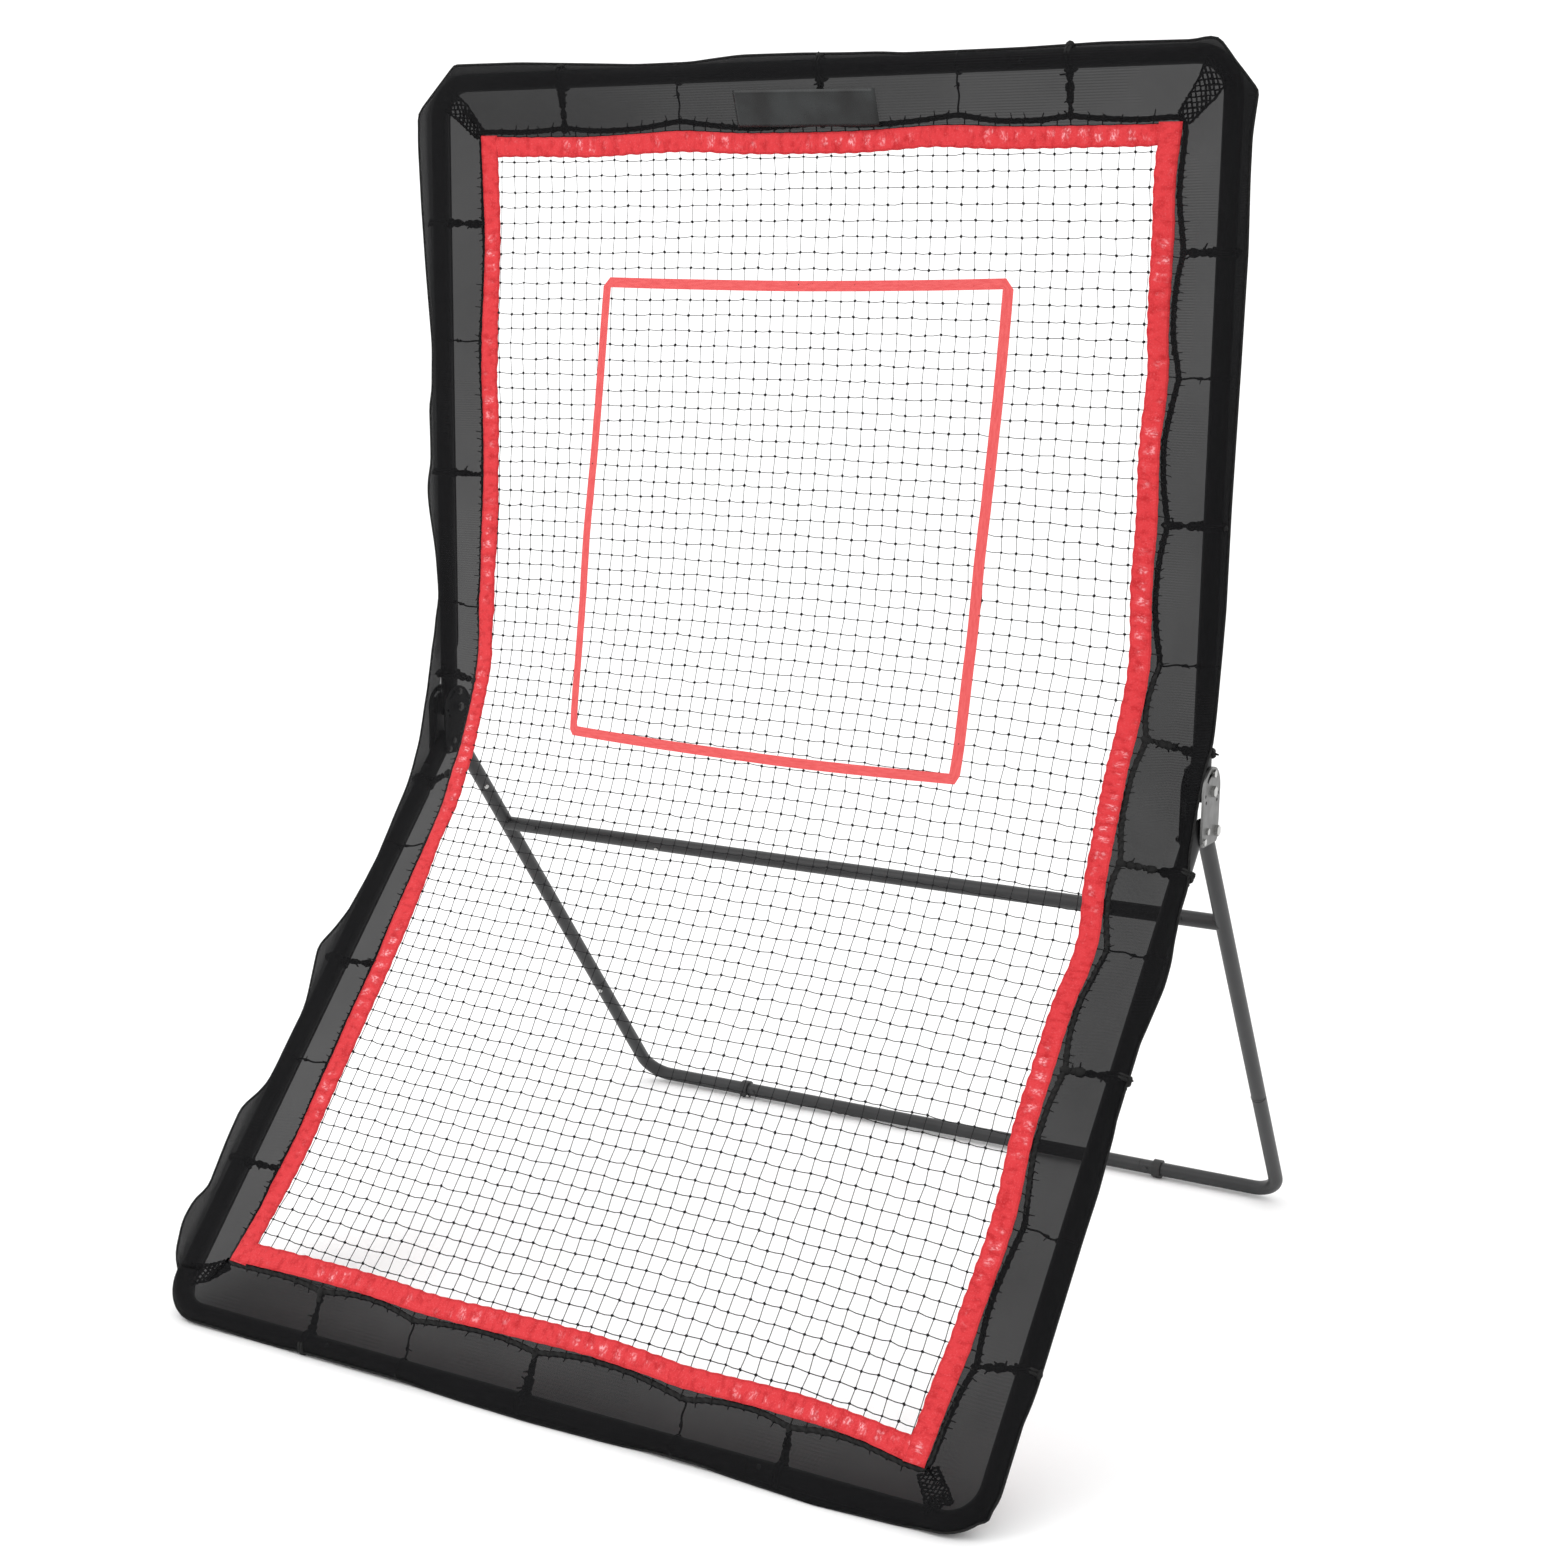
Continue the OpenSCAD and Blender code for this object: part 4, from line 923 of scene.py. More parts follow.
def pull(edge, q):
    """1 at a tie, 0 half way between two ties."""
    places = sorted(on_rope for _, on_rope, _ in TIES[edge])
    near = min(places, key=lambda p: abs(p - q))
    others = [p for p in places if (p - near) * (q - near) > 0]
    half = min((abs(p - near) for p in others), default=180) / 2
    t = min(1.0, abs(q - near) / half)
    return (1 - t) ** 1.6


def rope_gap(edge, q):
    near, tied = ROPE_GAP[edge]
    wander = 0.8 * noise.noise(Vector((q * 0.02, near, tied)))
    return mix(near, tied, pull(edge, q) ** 1.3) + wander


def rope_side(side, q):
    row = row_beside(side, q)
    x = side_edges(side, q)[1] + side * rope_gap("left" if side < 0 else "right", q)
    return net_point(x, row) - side_normal(side, row) * ROPE_BEHIND


def rope_end(x, top):
    row = row_at(x, top, end_edges(x, top)[1] + rope_gap("top" if top else "bottom", x))
    return net_point(x, row) - net_normal(x, row) * ROPE_BEHIND


def rounded(line, passes=2):
    """Smooths a closed line a little, which rounds its corners."""
    for _ in range(passes):
        n = len(line)
        line = [(line[k - 1] + 2 * line[k] + line[(k + 1) % n]) / 4 for k in range(n)]
    return line


rope_line = [rope_end(x, True) for x in range(-530, 537, 4)]
rope_line += [rope_side(1, q) for q in range(866, -900, -4)]
rope_line += [rope_end(x, False) for x in range(524, -527, -4)]
rope_line += [rope_side(-1, q) for q in range(-874, 875, 4)]
rope_line = rounded(rope_line, 3)
rope_shape = ring_cord(rope_line, ROPE_R, sides=10, lobes=3, lay=0.034)
border_rope = finished("border_rope_ring", rope_shape, rope_black)
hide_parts("rope_upper", "rope_fold", "rope_lower")
bend(border_rope)
print("rope", round(sum((b - a).length for a, b in zip(rope_line, rope_line[1:])), 2), "m round")

# %% [markdown]
# Each strand of the net ends in a lashing: it comes out from under the tape, crosses the gap, goes
# once round the rope and stops in a short tail. Hundreds of them give the rope its ragged look, so
# each one is a light cord with few faces.
# %% Lashings on the rope
LASHING_R, TAIL_R, TUCK = 0.0009, (0.0011, 0.0006), 0.001
lashings = Bundle()


def lashing(start, rope_at, outward, forward):
    """A strand from under the tape, over the rope, with its tail."""
    over = rope_at + forward * (ROPE_R + 0.0006) + jitter(0.0006)
    beyond = rope_at + outward * (ROPE_R + 0.0007) + jitter(0.0006)
    under = rope_at - forward * (ROPE_R + 0.0005)
    drift = outward * draw.uniform(0.001, 0.006) + forward * draw.uniform(-0.002, 0.003)
    cut_end = beyond + drift + jitter(0.002)
    slack = mix(start, over, 0.6) + jitter(0.0007)
    lashings.take(rolled_cord([start, slack, over, beyond, under], LASHING_R, sides=4))
    lashings.take(rolled_cord([over, beyond, cut_end], lambda t: mix(*TAIL_R, t), sides=4))
    bead = new_shape()
    bmesh.ops.create_icosphere(bead, subdivisions=1, radius=ROPE_R * draw.uniform(1.1, 1.4),
                               matrix=Matrix.Translation(rope_at + jitter(0.0008)))
    lashings.take(bead)


for side in (-1, 1):
    outward = Vector((side, 0, 0))
    for r in range(1, 78):
        q = next((k for k in range(870, -884, -2) if row_beside(side, k) >= r), None)
        if q is None:
            continue
        start = net_point(side_edges(side, q)[1] - side * 4, r) - side_normal(side, r) * TUCK
        lashing(start, rope_side(side, q), outward, side_normal(side, r))
        if abs(q) < 860:
            q -= draw.uniform(8, 14)
            lashing(rope_side(side, q) - outward * 0.002, rope_side(side, q), outward, side_normal(side, r))
for top in (True, False):
    for x in COLUMNS:
        x += draw.uniform(-2, 2)
        row = row_at(x, top, end_edges(x, top)[1] - 4)
        start = net_point(x, row) - net_normal(x, row) * TUCK
        outward = (net_point(x, row) - net_point(x, row + (1 if top else -1))).normalized()
        lashing(start, rope_end(x, top), outward, net_normal(x, row))
rope_lashings = lashings.piece("rope_lashings", rope_black)
bend(rope_lashings)

# %% [markdown]
# The mesh cover is one ring of cloth. In section it starts under the tape, runs flat to the tube,
# goes over it, and folds round to a loose hem that lies outside the tube. Each station round the
# frame has its own reach, read off lists, because the hem hangs loose on the left and lies
# tight on the right. Beside the brackets the cover leaves the tubes and swings out in front of them.
# %% Where the cover's hem lies
# (place along the tube, reach of the hem beyond the tube's centre line), in mm
HEM_LEFT = [(-905, 16), (-880, 34), (-835, 48), (-800, 45), (-785, 32), (-706, 40), (-656, 42), (-640, 30),
            (-616, 17), (-555, 12), (-519, 12), (-475, 21), (-424, 36), (-393, 45), (-368, 33), (-330, 22),
            (-281, 17), (-241, 15), (-210, 18), (-166, 22), (-112, 25), (-60, 33), (0, 35), (60, 28),
            (118, 29), (174, 21), (206, 14), (276, 21), (330, 30), (355, 33), (378, 32), (402, 26),
            (440, 26), (488, 27), (508, 22), (577, 20), (686, 29), (777, 35), (866, 39), (905, 38)]
HEM_RIGHT = [(-905, 8), (-858, 11), (-783, 17), (-713, 17), (-588, 17), (-530, 18), (-452, 15), (-403, 12),
             (-371, 10.5), (-315, 15), (-249, 22), (-213, 21), (-187, 17), (-124, 12), (-60, 8), (0, 7),
             (60, 12), (93, 15), (141, 16), (218, 19.5), (270, 21.5), (400, 22), (569, 25), (713, 27),
             (800, 25), (850, 25), (880, 28), (905, 31)]
HEM_TOP = [(-555, 25), (-457, 24), (-330, 18), (-190, 11), (-159, 16), (-95, 21), (0, 20), (60, 18),
           (120, 17), (190, 11), (240, 10), (287, 14), (427, 17), (555, 15)]
HEM_BOTTOM = [(-555, 14), (-400, 15), (-239, 10), (-101, 22), (-4, 26), (114, 21), (211, 9), (306, 21),
              (401, 30), (505, 20), (555, 10)]
# (across, along, size) of the straight cut over each corner, and the reach beside and beyond it
CORNERS = {(-1, True): (0.702, 0.712, 69, 89, 75), (1, True): (0.771, 0.636, 64, 80, 68),
           (1, False): (0.518, 0.856, 61, 58, 62), (-1, False): (0.796, 0.605, 52, 66, 60)}
SWING = 150  # how far from the fold the cover leaves the tubes
FOLD_PATH = smooth_line(
    [-160, -140, -80, -50, -2, 35, 70, 105, 140, 160],
    [(-108.1, -118.0), (-94.6, -103.2), (-55, -58.5), (-39.5, -36), (-24, 0), (-20, 35), (-14, 70),
     (-5, 105), (0, 140), (0, 160)])


def side_centre(q):
    """The cover's own centre line beside a side tube: it swings out in front of the bracket."""
    if q > SWING:
        return Vector((0, FOLD_Y, FOLD_Z + q))
    if q < -SWING:
        return Vector((0, FOLD_Y + q * math.cos(SLOPE), FOLD_Z + q * math.sin(SLOPE)))
    y, z = FOLD_PATH(q)
    return Vector((0, FOLD_Y + y, FOLD_Z + z))


def wrap_share(q):
    """1 where the cover goes round the tube, 0 beside the bracket, where only its front runs on."""
    t = min(1.0, max(0.0, (abs(q - 10) - 70) / 50))
    return t * t * (3 - 2 * t)


print("hem read at", len(HEM_LEFT + HEM_RIGHT + HEM_TOP + HEM_BOTTOM), "places")

# %% [markdown]
# A station is one place on the ring: the tube's centre there, the outward and the forward direction,
# the reach of the hem, the point under the tape where the cloth starts, and the share of wrapping.
# %% Stations round the frame
UNDER_EDGE = 3  # how far in from the tape's outer edge the cloth starts, in mm
BEHIND_NET = 0.0005


def station_side(side, q):
    centre = side_centre(q)
    lead = side_centre(q + 3) - side_centre(q - 3)
    forward = Vector((0, -lead.z, lead.y)).normalized()
    hem = stepped(HEM_LEFT if side < 0 else HEM_RIGHT, q)
    inner_q = math.copysign(830 + (abs(q) - 830) * 0.8, q) if abs(q) > 830 else q
    inner_q = max(SIDE_ENDS[side][1] + UNDER_EDGE, min(SIDE_ENDS[side][0] - UNDER_EDGE, inner_q))
    row = row_beside(side, inner_q)
    x = side_edges(side, inner_q)[1] - side * UNDER_EDGE
    inner = net_point(x, row) - side_normal(side, row) * BEHIND_NET
    centre = (centre + Vector((side * HALF_W, 0, 0))) * MM
    return centre, Vector((side, 0, 0)), forward, hem, inner, wrap_share(q)


def station_corner(side, top, angle):
    """angle 0 at the side tube, 90 degrees at the end tube."""
    place, _, forward = half_frame(top)
    across, along = math.cos(angle), math.sin(angle)
    arc = HALF_W - CORNER_R, SECTION - CORNER_R
    centre = place(side * (arc[0] + CORNER_R * across), arc[1] + CORNER_R * along, 0)
    outward = (place(side * across, along, 0) - place(0, 0, 0)).normalized()
    cut_x, cut_s, size, beside, beyond = CORNERS[side, top]
    reach = size / (cut_x * across + cut_s * along)
    reach = min(reach, beside / max(across, 0.01), beyond / max(along, 0.01))
    end = SIDE_ENDS[side][0 if top else 1]
    x = side * (side_tape[side](end)[1] - UNDER_EDGE)
    row = row_at(x, top, abs(end) - UNDER_EDGE)
    inner = net_point(x, row) - side_normal(side, row) * BEHIND_NET
    return centre, outward, forward, reach - CORNER_R, inner, 1.0


def station_end(x, top):
    place, outward, forward = half_frame(top)
    hem = stepped(HEM_TOP if top else HEM_BOTTOM, x)
    near = x if abs(x) < 480 else math.copysign(480 + (abs(x) - 480) * 0.7, x)
    row = row_at(near, top, end_edges(near, top)[1] - UNDER_EDGE)
    inner = net_point(near, row) - net_normal(near, row) * BEHIND_NET
    return place(x, SECTION, 0), outward, forward, hem, inner, 1.0


def corner_turn(side, top):
    """Angles round a corner, with the two where the straight cut begins and ends."""
    cut_x, cut_s, size, beside, beyond = CORNERS[side, top]
    first = math.atan2((size - cut_x * beside) / cut_s, beside)
    last = math.atan2(beyond, (size - cut_s * beyond) / cut_x)
    even = [math.radians(a) for a in range(6, 90, 7)]
    return sorted([a for a in even if min(abs(a - first), abs(a - last)) > 0.03] + [first, last])


ring = [station_side(-1, q) for q in range(-900, 901, 10)]
ring += [station_corner(-1, True, a) for a in corner_turn(-1, True)]
ring += [station_end(x, True) for x in range(-550, 551, 11)]
ring += [station_corner(1, True, a) for a in reversed(corner_turn(1, True))]
ring += [station_side(1, q) for q in range(900, -901, -10)]
ring += [station_corner(1, False, a) for a in corner_turn(1, False)]
ring += [station_end(x, False) for x in range(550, -551, -11)]
ring += [station_corner(-1, False, a) for a in reversed(corner_turn(-1, False))]
print("stations", len(ring))

# %% [markdown]
# The section of the cloth: the panel from the tape to the tube, the part over the tube, the folded
# hem, and the short return behind. The hem closes like a pinched lens. Where the hem hangs loose the
# mesh is pulled open, so the section gives that share too.
# %% Section of the cloth
OVER, LAP, RETURN = 18.0, 30.0, 5.0  # cloth in front of the tube, beside it and behind it, in mm
FRONT_SKIN, BACK_SKIN = 14.6, 13.4  # the least radius of the cloth round the tube
LEAST_HEM = 14.2  # the least reach of the hem where the cloth goes round the tube
PANEL, FRONT, BACK = 6, 8, 8
SECTION_STEPS = PANEL + FRONT + BACK


def section(station, k, wander=0.0):
    """Point k of the section at a station, and how far the mesh is pulled open there."""
    centre, outward, forward, hem, inner, wrap = station
    hem = max(hem, mix(hem, LEAST_HEM, wrap))
    loose = max(0.0, -outward.x, 0.6 * outward.z)

    def at(o, f):
        return centre + outward * (o * MM) + forward * (f * MM)

    def lift(o, skin):
        pinch = OVER * (1 - (max(0.0, o) / hem) ** 1.7) ** 0.75 if o < hem else 0.0
        return max(pinch, math.sqrt(max(0.0, skin * skin - o * o)))

    def pulled(o):
        return loose * max(min(1.0, max(0.0, (o - 9) / 6)), 1 - wrap)

    if k <= PANEL:
        t = k / PANEL
        billow = math.sin(math.pi * t) ** 2 * wander
        return mix(inner, at(-LAP, OVER - 0.4), t) + forward * (billow * MM), max(0.0, -outward.x) * 0.16
    if k <= PANEL + FRONT:
        t = (k - PANEL) / FRONT
        o = mix(-LAP, hem, t ** 0.8)
        return at(o, lift(o, FRONT_SKIN) + 0.7), pulled(o)
    t = (k - PANEL - FRONT) / BACK
    o = mix(hem, -RETURN, t ** 1.25)
    behind, tucked = at(o, -lift(o, BACK_SKIN) - 0.3), at(o, lift(o, BACK_SKIN) - 0.9 - 0.5 * t)
    return mix(tucked, behind, wrap), pulled(o)


print("section of", SECTION_STEPS + 1, "points")

# %% [markdown]
# The cover is one grid of cloth, a row of vertices for each station. Long soft creases come from
# noise, which fades out at the sewn edge of the panel, and nothing may go below the floor. Each
# vertex then gets its `open` value for the finish.
# %% Mesh cover
FLOOR_CLEAR = 0.0004
COVER_ROUND, COVER_ACROSS = 6.2, 0.135


def cover_step(u, v):
    """The station and the step of the section for a vertex of the cloth."""
    return round(u * len(ring)) % len(ring), round(v * SECTION_STEPS)


def cover_place(u, v):
    j, k = cover_step(u, v)
    wander = 2.6 * noise.noise(Vector((j * 0.09, k * 0.35, 2.0)))
    wander += 1.2 * noise.noise(Vector((j * 0.3, k * 0.9, 8.0)))
    point = section(ring[j], k, wander)[0]
    point.z = max(point.z, FLOOR_CLEAR + 0.0003 * (k % 2))
    return point


cover_shape = cloth(len(ring), SECTION_STEPS, cover_place, (COVER_ROUND, COVER_ACROSS))
bmesh.ops.remove_doubles(cover_shape, verts=cover_shape.verts, dist=1e-6)
mesh_cover = finished("mesh_cover_ring", cover_shape, cover_mesh)
opened = mesh_cover.data.attributes.new("open", "FLOAT", "POINT")
for loop_uv, loop in zip(mesh_cover.data.uv_layers.active.data, mesh_cover.data.loops):
    j, k = cover_step(loop_uv.uv.x / COVER_ROUND, loop_uv.uv.y / COVER_ACROSS)
    opened.data[loop.vertex_index].value = section(ring[j], k)[1]
print("cover ring", len(mesh_cover.data.polygons), "faces")
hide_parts("cover_top", "cover_upper_left", "cover_upper_right", "cover_fold",
            "cover_lower_left", "cover_lower_right", "cover_bottom")
bend(mesh_cover)

# %% [markdown]
# The hem is turned and sewn, so it shows as a thin dark line along the cover's outer edge. A slim
# cord on that edge stands for the double cloth and its stitches.
# %% Hem
HEM_R, HEM_CLEAR = 0.0018, 0.0024
hem_line = [section(station, PANEL + FRONT)[0] for station in ring]
for point in hem_line:
    point.z = max(point.z, HEM_CLEAR)
cover_hem = finished("cover_hem", ring_cord(rounded(hem_line, 1), HEM_R, sides=6), rope_black)
bend(cover_hem)

# %% [markdown]
# The parts of a tie: a knot is an uneven ball, a tail is the cut end of a cord, and the turns are a
# coil round the tube. The bottom tube rests on the floor, so its turns are arcs that stay open there.
# %% Knots, tails and turns
TURN_STEPS = 20
ties = Bundle()


def lump(at, size, stretch_dir):
    """A knot: a small uneven ball, a little longer along the cord."""
    knot = new_shape()
    bmesh.ops.create_icosphere(knot, subdivisions=2, radius=1.0)
    for vert in knot.verts:
        rough = 1 + 0.35 * noise.noise(vert.co * 1.9 + at * 900)
        along = vert.co.dot(stretch_dir)
        vert.co = at + (vert.co + stretch_dir * along * 0.35) * size * rough
    ties.take(knot)


def tail(at, outward, size, length):
    """The cut end of a cord, sticking out of a knot."""
    bend_to = jitter(1) * 0.9
    middle = at + (outward + bend_to).normalized() * length * 0.5
    end = middle + (outward + bend_to * 1.6).normalized() * length * 0.5
    ties.take(rolled_cord([at, middle, end], lambda t: size * (1 - 0.35 * t), sides=5))


def turns_round(centre, outward, forward, cord_r, turns, step, rests):
    """The turns round the tube; where the tube rests on the floor they stop short of the floor."""
    run = outward.cross(forward).normalized()
    r = TUBE_R * MM + cord_r + 0.0002

    def spot(a, shift):
        return centre + outward * (r * math.cos(a)) + forward * (r * math.sin(a)) + run * shift

    if rests:
        up = math.pi / 2 + SLOPE
        for n in range(round(turns)):
            shift = step * (n - (round(turns) - 1) / 2)
            arc = [spot(up + math.radians(a), shift) for a in range(-140, 141, 14)]
            ties.take(rolled_cord(arc, cord_r, sides=6))
        return
    count = round(turns * TURN_STEPS)
    coil = [spot(math.pi * 0.9 + math.tau * turns * k / count, step * turns * (k / count - 0.5))
            for k in range(count + 1)]
    ties.take(rolled_cord(coil, cord_r, sides=6))


print("tie parts ready")

# %% [markdown]
# Ties hold the rope to the tubes. A thick tie is a doubled cord: two turns round the tube, then
# both ends twisted together and knotted a few times on the way to the rope, with the cut tails left
# sticking out. A thin tie is a single cord with two small knots near the tube.
# %% Ties
# cord radius, number of turns round the tube, and the step from turn to turn
TURNS = {"T": (0.0024, 2.4, 0.0042), "t": (0.0012, 1.15, 0.002)}
TWISTED_R, SINGLE_R, TWIST_LAY = 0.0020, 0.0013, 0.015
KNOT_PLACES = [0.24, 0.36, 0.50, 0.64, 0.80]  # shares of the way from tube to rope
KNOT_SIZE, TUBE_KNOT_SIZE = (0.0040, 0.0066), (0.0040, 0.0050)
TIE_CLEAR = 0.0003  # height over the floor of what would reach below it


def twisted_span(near, span, side, forward):
    """Two cords twisted together from the tube to the rope, with their knots and cut tails."""
    way = span.normalized()
    other = way.cross(side)
    phase = draw.uniform(0, math.tau)
    for half in (0.0, math.pi):
        line = []
        for k in range(19):
            t = k / 18
            a = phase + half + math.tau * span.length / TWIST_LAY * t
            off = 0.0018 + 0.0007 * math.sin(5 * t + phase)
            line.append(near + span * t + side * (off * math.cos(a)) + other * (off * math.sin(a)))
        ties.take(rolled_cord(line, TWISTED_R, sides=6))
    for t in sorted(draw.sample(KNOT_PLACES, 3)) + [0.06, 1.0]:
        lump(near + span * t, draw.uniform(*KNOT_SIZE), way)
        if draw.random() < 0.75:
            out = side * draw.choice([-1, 1]) + forward * 0.4
            tail(near + span * t, out, 0.0015, draw.uniform(0.008, 0.014))


def single_span(near, span, side, rope_at):
    """One thin cord from the tube to the rope, with two small knots near the tube."""
    way = span.normalized()
    line = [near + span * (k / 10) + side * (0.0012 * math.sin(9 * k / 10)) for k in range(11)]
    ties.take(rolled_cord(line, SINGLE_R, sides=5))
    lump(near + span * 0.25, 0.0024, way)
    lump(near + span * 0.33, 0.0019, way)
    lump(rope_at, 0.0026, way)
    tail(near + span * 0.25, side, 0.0008, 0.007)


def tie(centre, outward, forward, rope_at, kind, rests=False):
    """One tie from the tube's centre to the rope; rests says that the tube lies on the floor."""
    run = outward.cross(forward).normalized()
    cord_r, turns, step = TURNS[kind]
    turns_round(centre, outward, forward, cord_r, turns, step, rests)
    reach = TUBE_R * MM + cord_r
    near = centre - outward * (reach + 0.001) + forward * 0.003
    span = rope_at - near
    side = span.normalized().orthogonal().normalized()
    if kind == "t":
        single_span(near, span, side, rope_at)
        return
    twisted_span(near, span, side, forward)
    if not rests:
        outside = centre + outward * (reach + 0.0012) + forward * 0.004
        lump(outside, draw.uniform(*TUBE_KNOT_SIZE), run)
        for _ in range(2):
            tail(outside + run * draw.uniform(-0.003, 0.003), outward, 0.0018, draw.uniform(0.005, 0.008))


for side, edge in ((-1, "left"), (1, "right")):
    for q, on_rope, kind in TIES[edge]:
        place, _, forward = half_frame(q > 0)
        centre = place(side * HALF_W, abs(q), 0)
        tie(centre, Vector((side, 0, 0)), forward, rope_side(side, on_rope), kind)
for top, edge in ((True, "top"), (False, "bottom")):
    place, outward, forward = half_frame(top)
    for x, on_rope, kind in TIES[edge]:
        tie(place(x, SECTION, 0), outward, forward, rope_end(on_rope, top), kind, rests=not top)
for vert in ties.all.verts:
    vert.co.z = max(vert.co.z, TIE_CLEAR)
tie_cords = ties.piece("tie_cords", rope_black)
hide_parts("ties_upper", "ties_lower")
bend(tie_cords)

# %% [markdown]
# In each corner the net's spare mesh is gathered into a strip and laced to the tube's bend. It is a
# small diamond netting: zigzag strands side by side, each touching its neighbour at every turn.
# %% Corner nets
WEBS = {  # start and end (across, along), width at both, in mm
    (1, True): (535, 873, 585, 932, 19, 40), (-1, True): (531, 877, 583, 932, 16, 34),
    (1, False): (526, 903, 553, 940, 25, 33), (-1, False): (526, 880, 584, 908, 14, 30),
}
WEB_DEPTH = {True: -6.5, False: 14.0}  # how far in front of the tubes the strip starts, in mm
WEB_STRANDS, WEB_STEPS, EDGE_STEPS = 6, 18, 24
WEB_R, WEB_EDGE_R, WEB_STRAY = 0.0015, 0.0016, 0.0007
corner_bundle = Bundle()


def corner_net(side, top):
    place, _, forward = half_frame(top)
    ax, a_s, bx, b_s, narrow, wide = WEBS[side, top]
    a = place(side * ax, a_s, WEB_DEPTH[top])
    b = place(side * bx, b_s, 0)
    way, length = (b - a).normalized(), (b - a).length
    side_way = way.cross(forward).normalized()

    def spot(t, offset, lift):
        """A place a share t along the strip, offset across it; its end climbs over the tube."""
        lift += 0.013 * max(0.0, 2.5 * t - 1.5)
        return a + way * (length * t) + side_way * offset + forward * lift + jitter(WEB_STRAY)

    for layer in range(2):
        for k in range(WEB_STRANDS):
            line = []
            for n in range(WEB_STEPS + 1):
                t = n / WEB_STEPS
                width = mix(narrow, wide, t) * MM * (1 + 0.10 * math.sin(7 * t + layer))
                zig = (0.5 if n % 2 else -0.5) * (1 if k % 2 else -1)
                offset = ((k + 0.5 + zig * 0.98) / WEB_STRANDS - 0.5) * width
                line.append(spot(t, offset, 0.0022 * layer + 0.002 * math.sin(5 * t + k)))
            corner_bundle.take(rolled_cord(line, WEB_R, sides=4))
    for edge in (-0.5, 0.5):
        steps = [n / EDGE_STEPS for n in range(EDGE_STEPS + 1)]
        line = [spot(t, edge * mix(narrow, wide, t) * MM, 0.001) for t in steps]
        corner_bundle.take(rolled_cord(line, WEB_EDGE_R, sides=6, lobes=2, lay=0.01))


for side in (-1, 1):
    for top in (True, False):
        corner_net(side, top)
corner_nets = corner_bundle.piece("corner_nets", rope_black)
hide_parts("corner_webs_upper", "corner_webs_lower")
bend(corner_nets)

# %% [markdown]
# A bare vinyl patch is sewn on the top panel of the cover. It is left blank here. It lies on the
# cloth, so it takes its place from the same section as the cover.
# %% Label patch
LABEL_W, LABEL_H, LABEL_X, LABEL_S = 214.0, 50.0, 13.0, 879
LABEL_OVER = 4.5  # how far the patch stands in front of the line of the cloth, in mm


def label_place(u, v):
    x = LABEL_X + mix(-LABEL_W / 2, LABEL_W / 2, u)
    station = station_end(x, True)
    low, high = section(station, 0)[0], section(station, PANEL)[0]
    up = (high - low).normalized()
    start = (on_upper(x, LABEL_S - 4 * u, 0).z - low.z) / up.z
    face = Vector((1, 0, 0)).cross(up).normalized()
    soft = 0.5 * noise.noise(Vector((x * 0.03, v * 2, 1.0)))
    return low + up * (start + v * LABEL_H * MM) + face * (LABEL_OVER + soft) * MM


label_shape = cloth(40, 8, label_place, (LABEL_W * MM, LABEL_H * MM))
bmesh.ops.recalc_face_normals(label_shape, faces=label_shape.faces)
bmesh.ops.solidify(label_shape, geom=label_shape.faces[:], thickness=0.0006)
label = finished("label_plate", label_shape, label_vinyl)
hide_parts("label_patch")
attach(label, "upper_frame")

# %% [markdown]
# The rear leg is made of several tubes pushed together, and each joint has its screw. Their small
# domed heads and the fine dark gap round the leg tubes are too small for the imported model.
# %% Screw heads and tube joints on the rear leg
heads, gaps = Bundle(), Bundle()
CROSS_BAR, REAR_BAR = Vector((0, 193.2, 539)), Vector((0, 594.15, 11))
LEG_TOP, LEG_FOOT, LEG_R = Vector((600, 75.96, 693.41)), Vector((575, 594.15, 11)), 11.0
HEAD_R, GAP_R, JOINT_SHARE = 0.0036, 0.00035, 0.697


def on_leg(side, share):
    """A place on a leg tube's middle line, from its top at 0 to its bend at 1."""
    p = LEG_TOP.lerp(LEG_FOOT, share)
    return Vector((side * p.x, p.y, p.z))


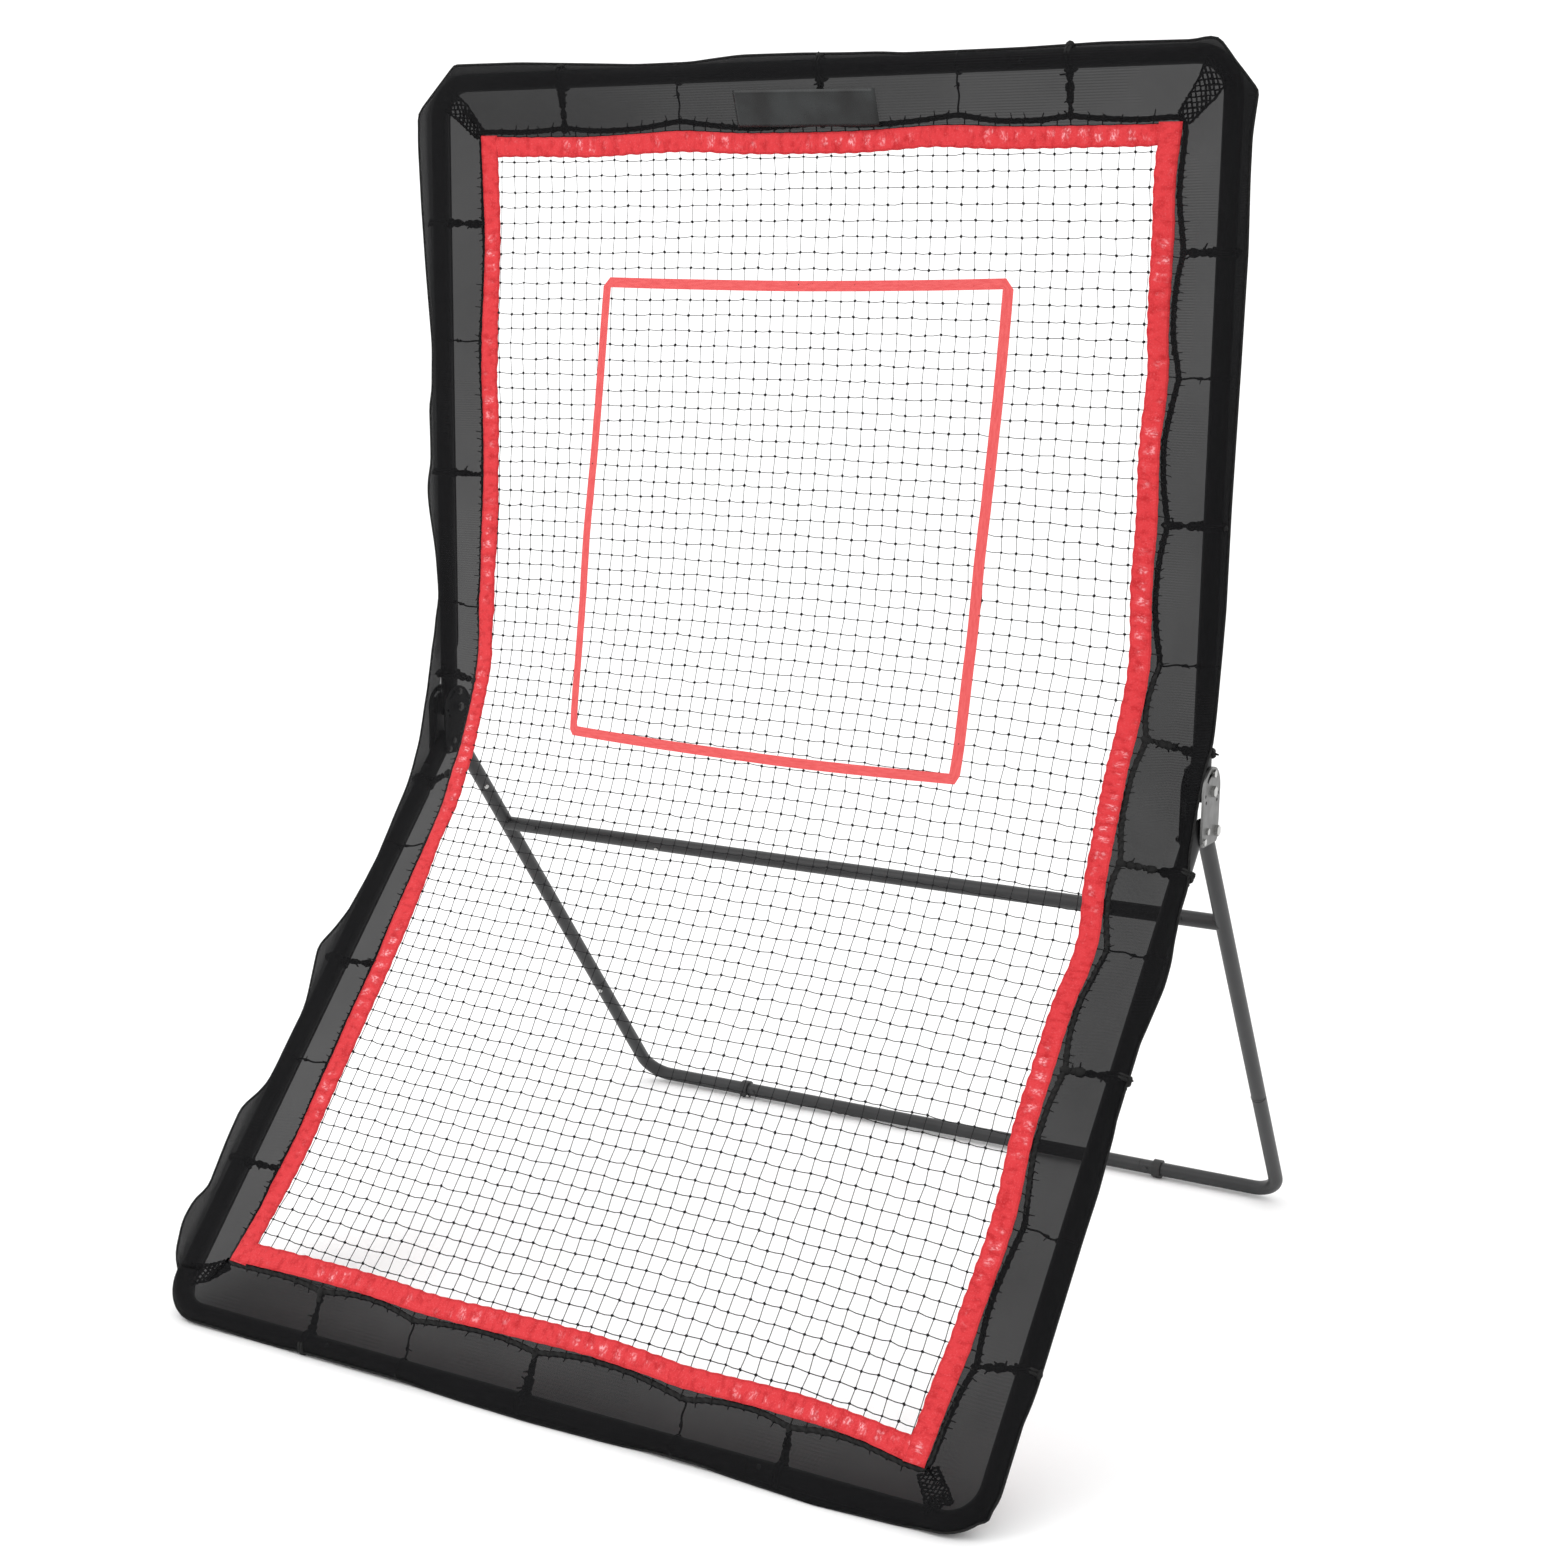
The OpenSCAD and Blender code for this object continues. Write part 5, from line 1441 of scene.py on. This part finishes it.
SCREWS = [  # place on a tube's middle line, and the way the head faces
    (CROSS_BAR + Vector((-308, 0, 0)), (0, -0.8, -0.6)),
    (REAR_BAR + Vector((-9, 0, 0)), (0, -0.35, 0.94)),
    (REAR_BAR + Vector((-371, 0, 0)), (0, -0.85, -0.5)),
    (on_leg(-1, 0.717), (0.35, -0.9, -0.3)),
    (on_leg(-1, 0.12), (0.8, -0.55, -0.2)),
]
for middle, facing in SCREWS:
    facing = Vector(facing).normalized()
    seat = Matrix.Translation((middle + facing * (LEG_R + 0.2)) * MM)
    turn = facing.to_track_quat("Z", "Y").to_matrix().to_4x4()
    head = new_shape()
    bmesh.ops.create_uvsphere(head, u_segments=20, v_segments=10, radius=HEAD_R,
                              matrix=seat @ turn @ Matrix.Diagonal((1, 1, 0.5, 1)))
    heads.take(head)
for side in (-1, 1):
    joint, way = on_leg(side, JOINT_SHARE), (on_leg(side, 1) - on_leg(side, 0)).normalized()
    first = way.orthogonal().normalized()
    second = way.cross(first)
    circle = [(joint + (first * math.cos(a) + second * math.sin(a)) * (LEG_R + 0.02)) * MM
              for a in (math.tau * n / 32 for n in range(33))]
    gaps.take(rolled_cord(circle, GAP_R, sides=5, closed=True))
screw_heads = heads.piece("leg_screw_heads", zinc)
joint_gaps = gaps.piece("leg_joint_gaps", rope_black)
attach(screw_heads, "rear_leg")
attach(joint_gaps, "rear_leg")

# %% [markdown]
# A pale floor and soft light: the world gives an even white fill, and one large lamp from the upper
# left adds a little shape to the tubes and bolts.
# %% Floor and light
floor_shape = bmesh.new()
bmesh.ops.create_grid(floor_shape, x_segments=1, y_segments=1, size=30)
floor_mesh = bpy.data.meshes.new("floor")
floor_shape.to_mesh(floor_mesh)
floor_shape.free()
floor = bpy.data.objects.new("floor", floor_mesh)
bpy.context.scene.collection.objects.link(floor)
pale = Finish("floor", Base_Color=(0.98, 0.98, 0.98), Roughness=0.9, Specular_IOR_Level=0.1)
floor_mesh.materials.append(pale.material)

world = bpy.data.worlds.new("studio")
bpy.context.scene.world = world
world.use_nodes = True
world.node_tree.nodes["Background"].inputs[0].default_value = (1, 1, 1, 1)
world.node_tree.nodes["Background"].inputs[1].default_value = 1.2
bpy.context.scene.view_settings.view_transform = "Standard"

key = bpy.data.lights.new("key", "AREA")
key.shape, key.size, key.energy = "DISK", 3.0, 32
lamp = bpy.data.objects.new("key", key)
bpy.context.scene.collection.objects.link(lamp)
lamp.location = (-1.8, -2.2, 3.2)
aim = Vector((0, 0, 0.9)) - lamp.location
lamp.rotation_mode = "QUATERNION"
lamp.rotation_quaternion = aim.to_track_quat("-Z", "Y")
print("floor and light ready")
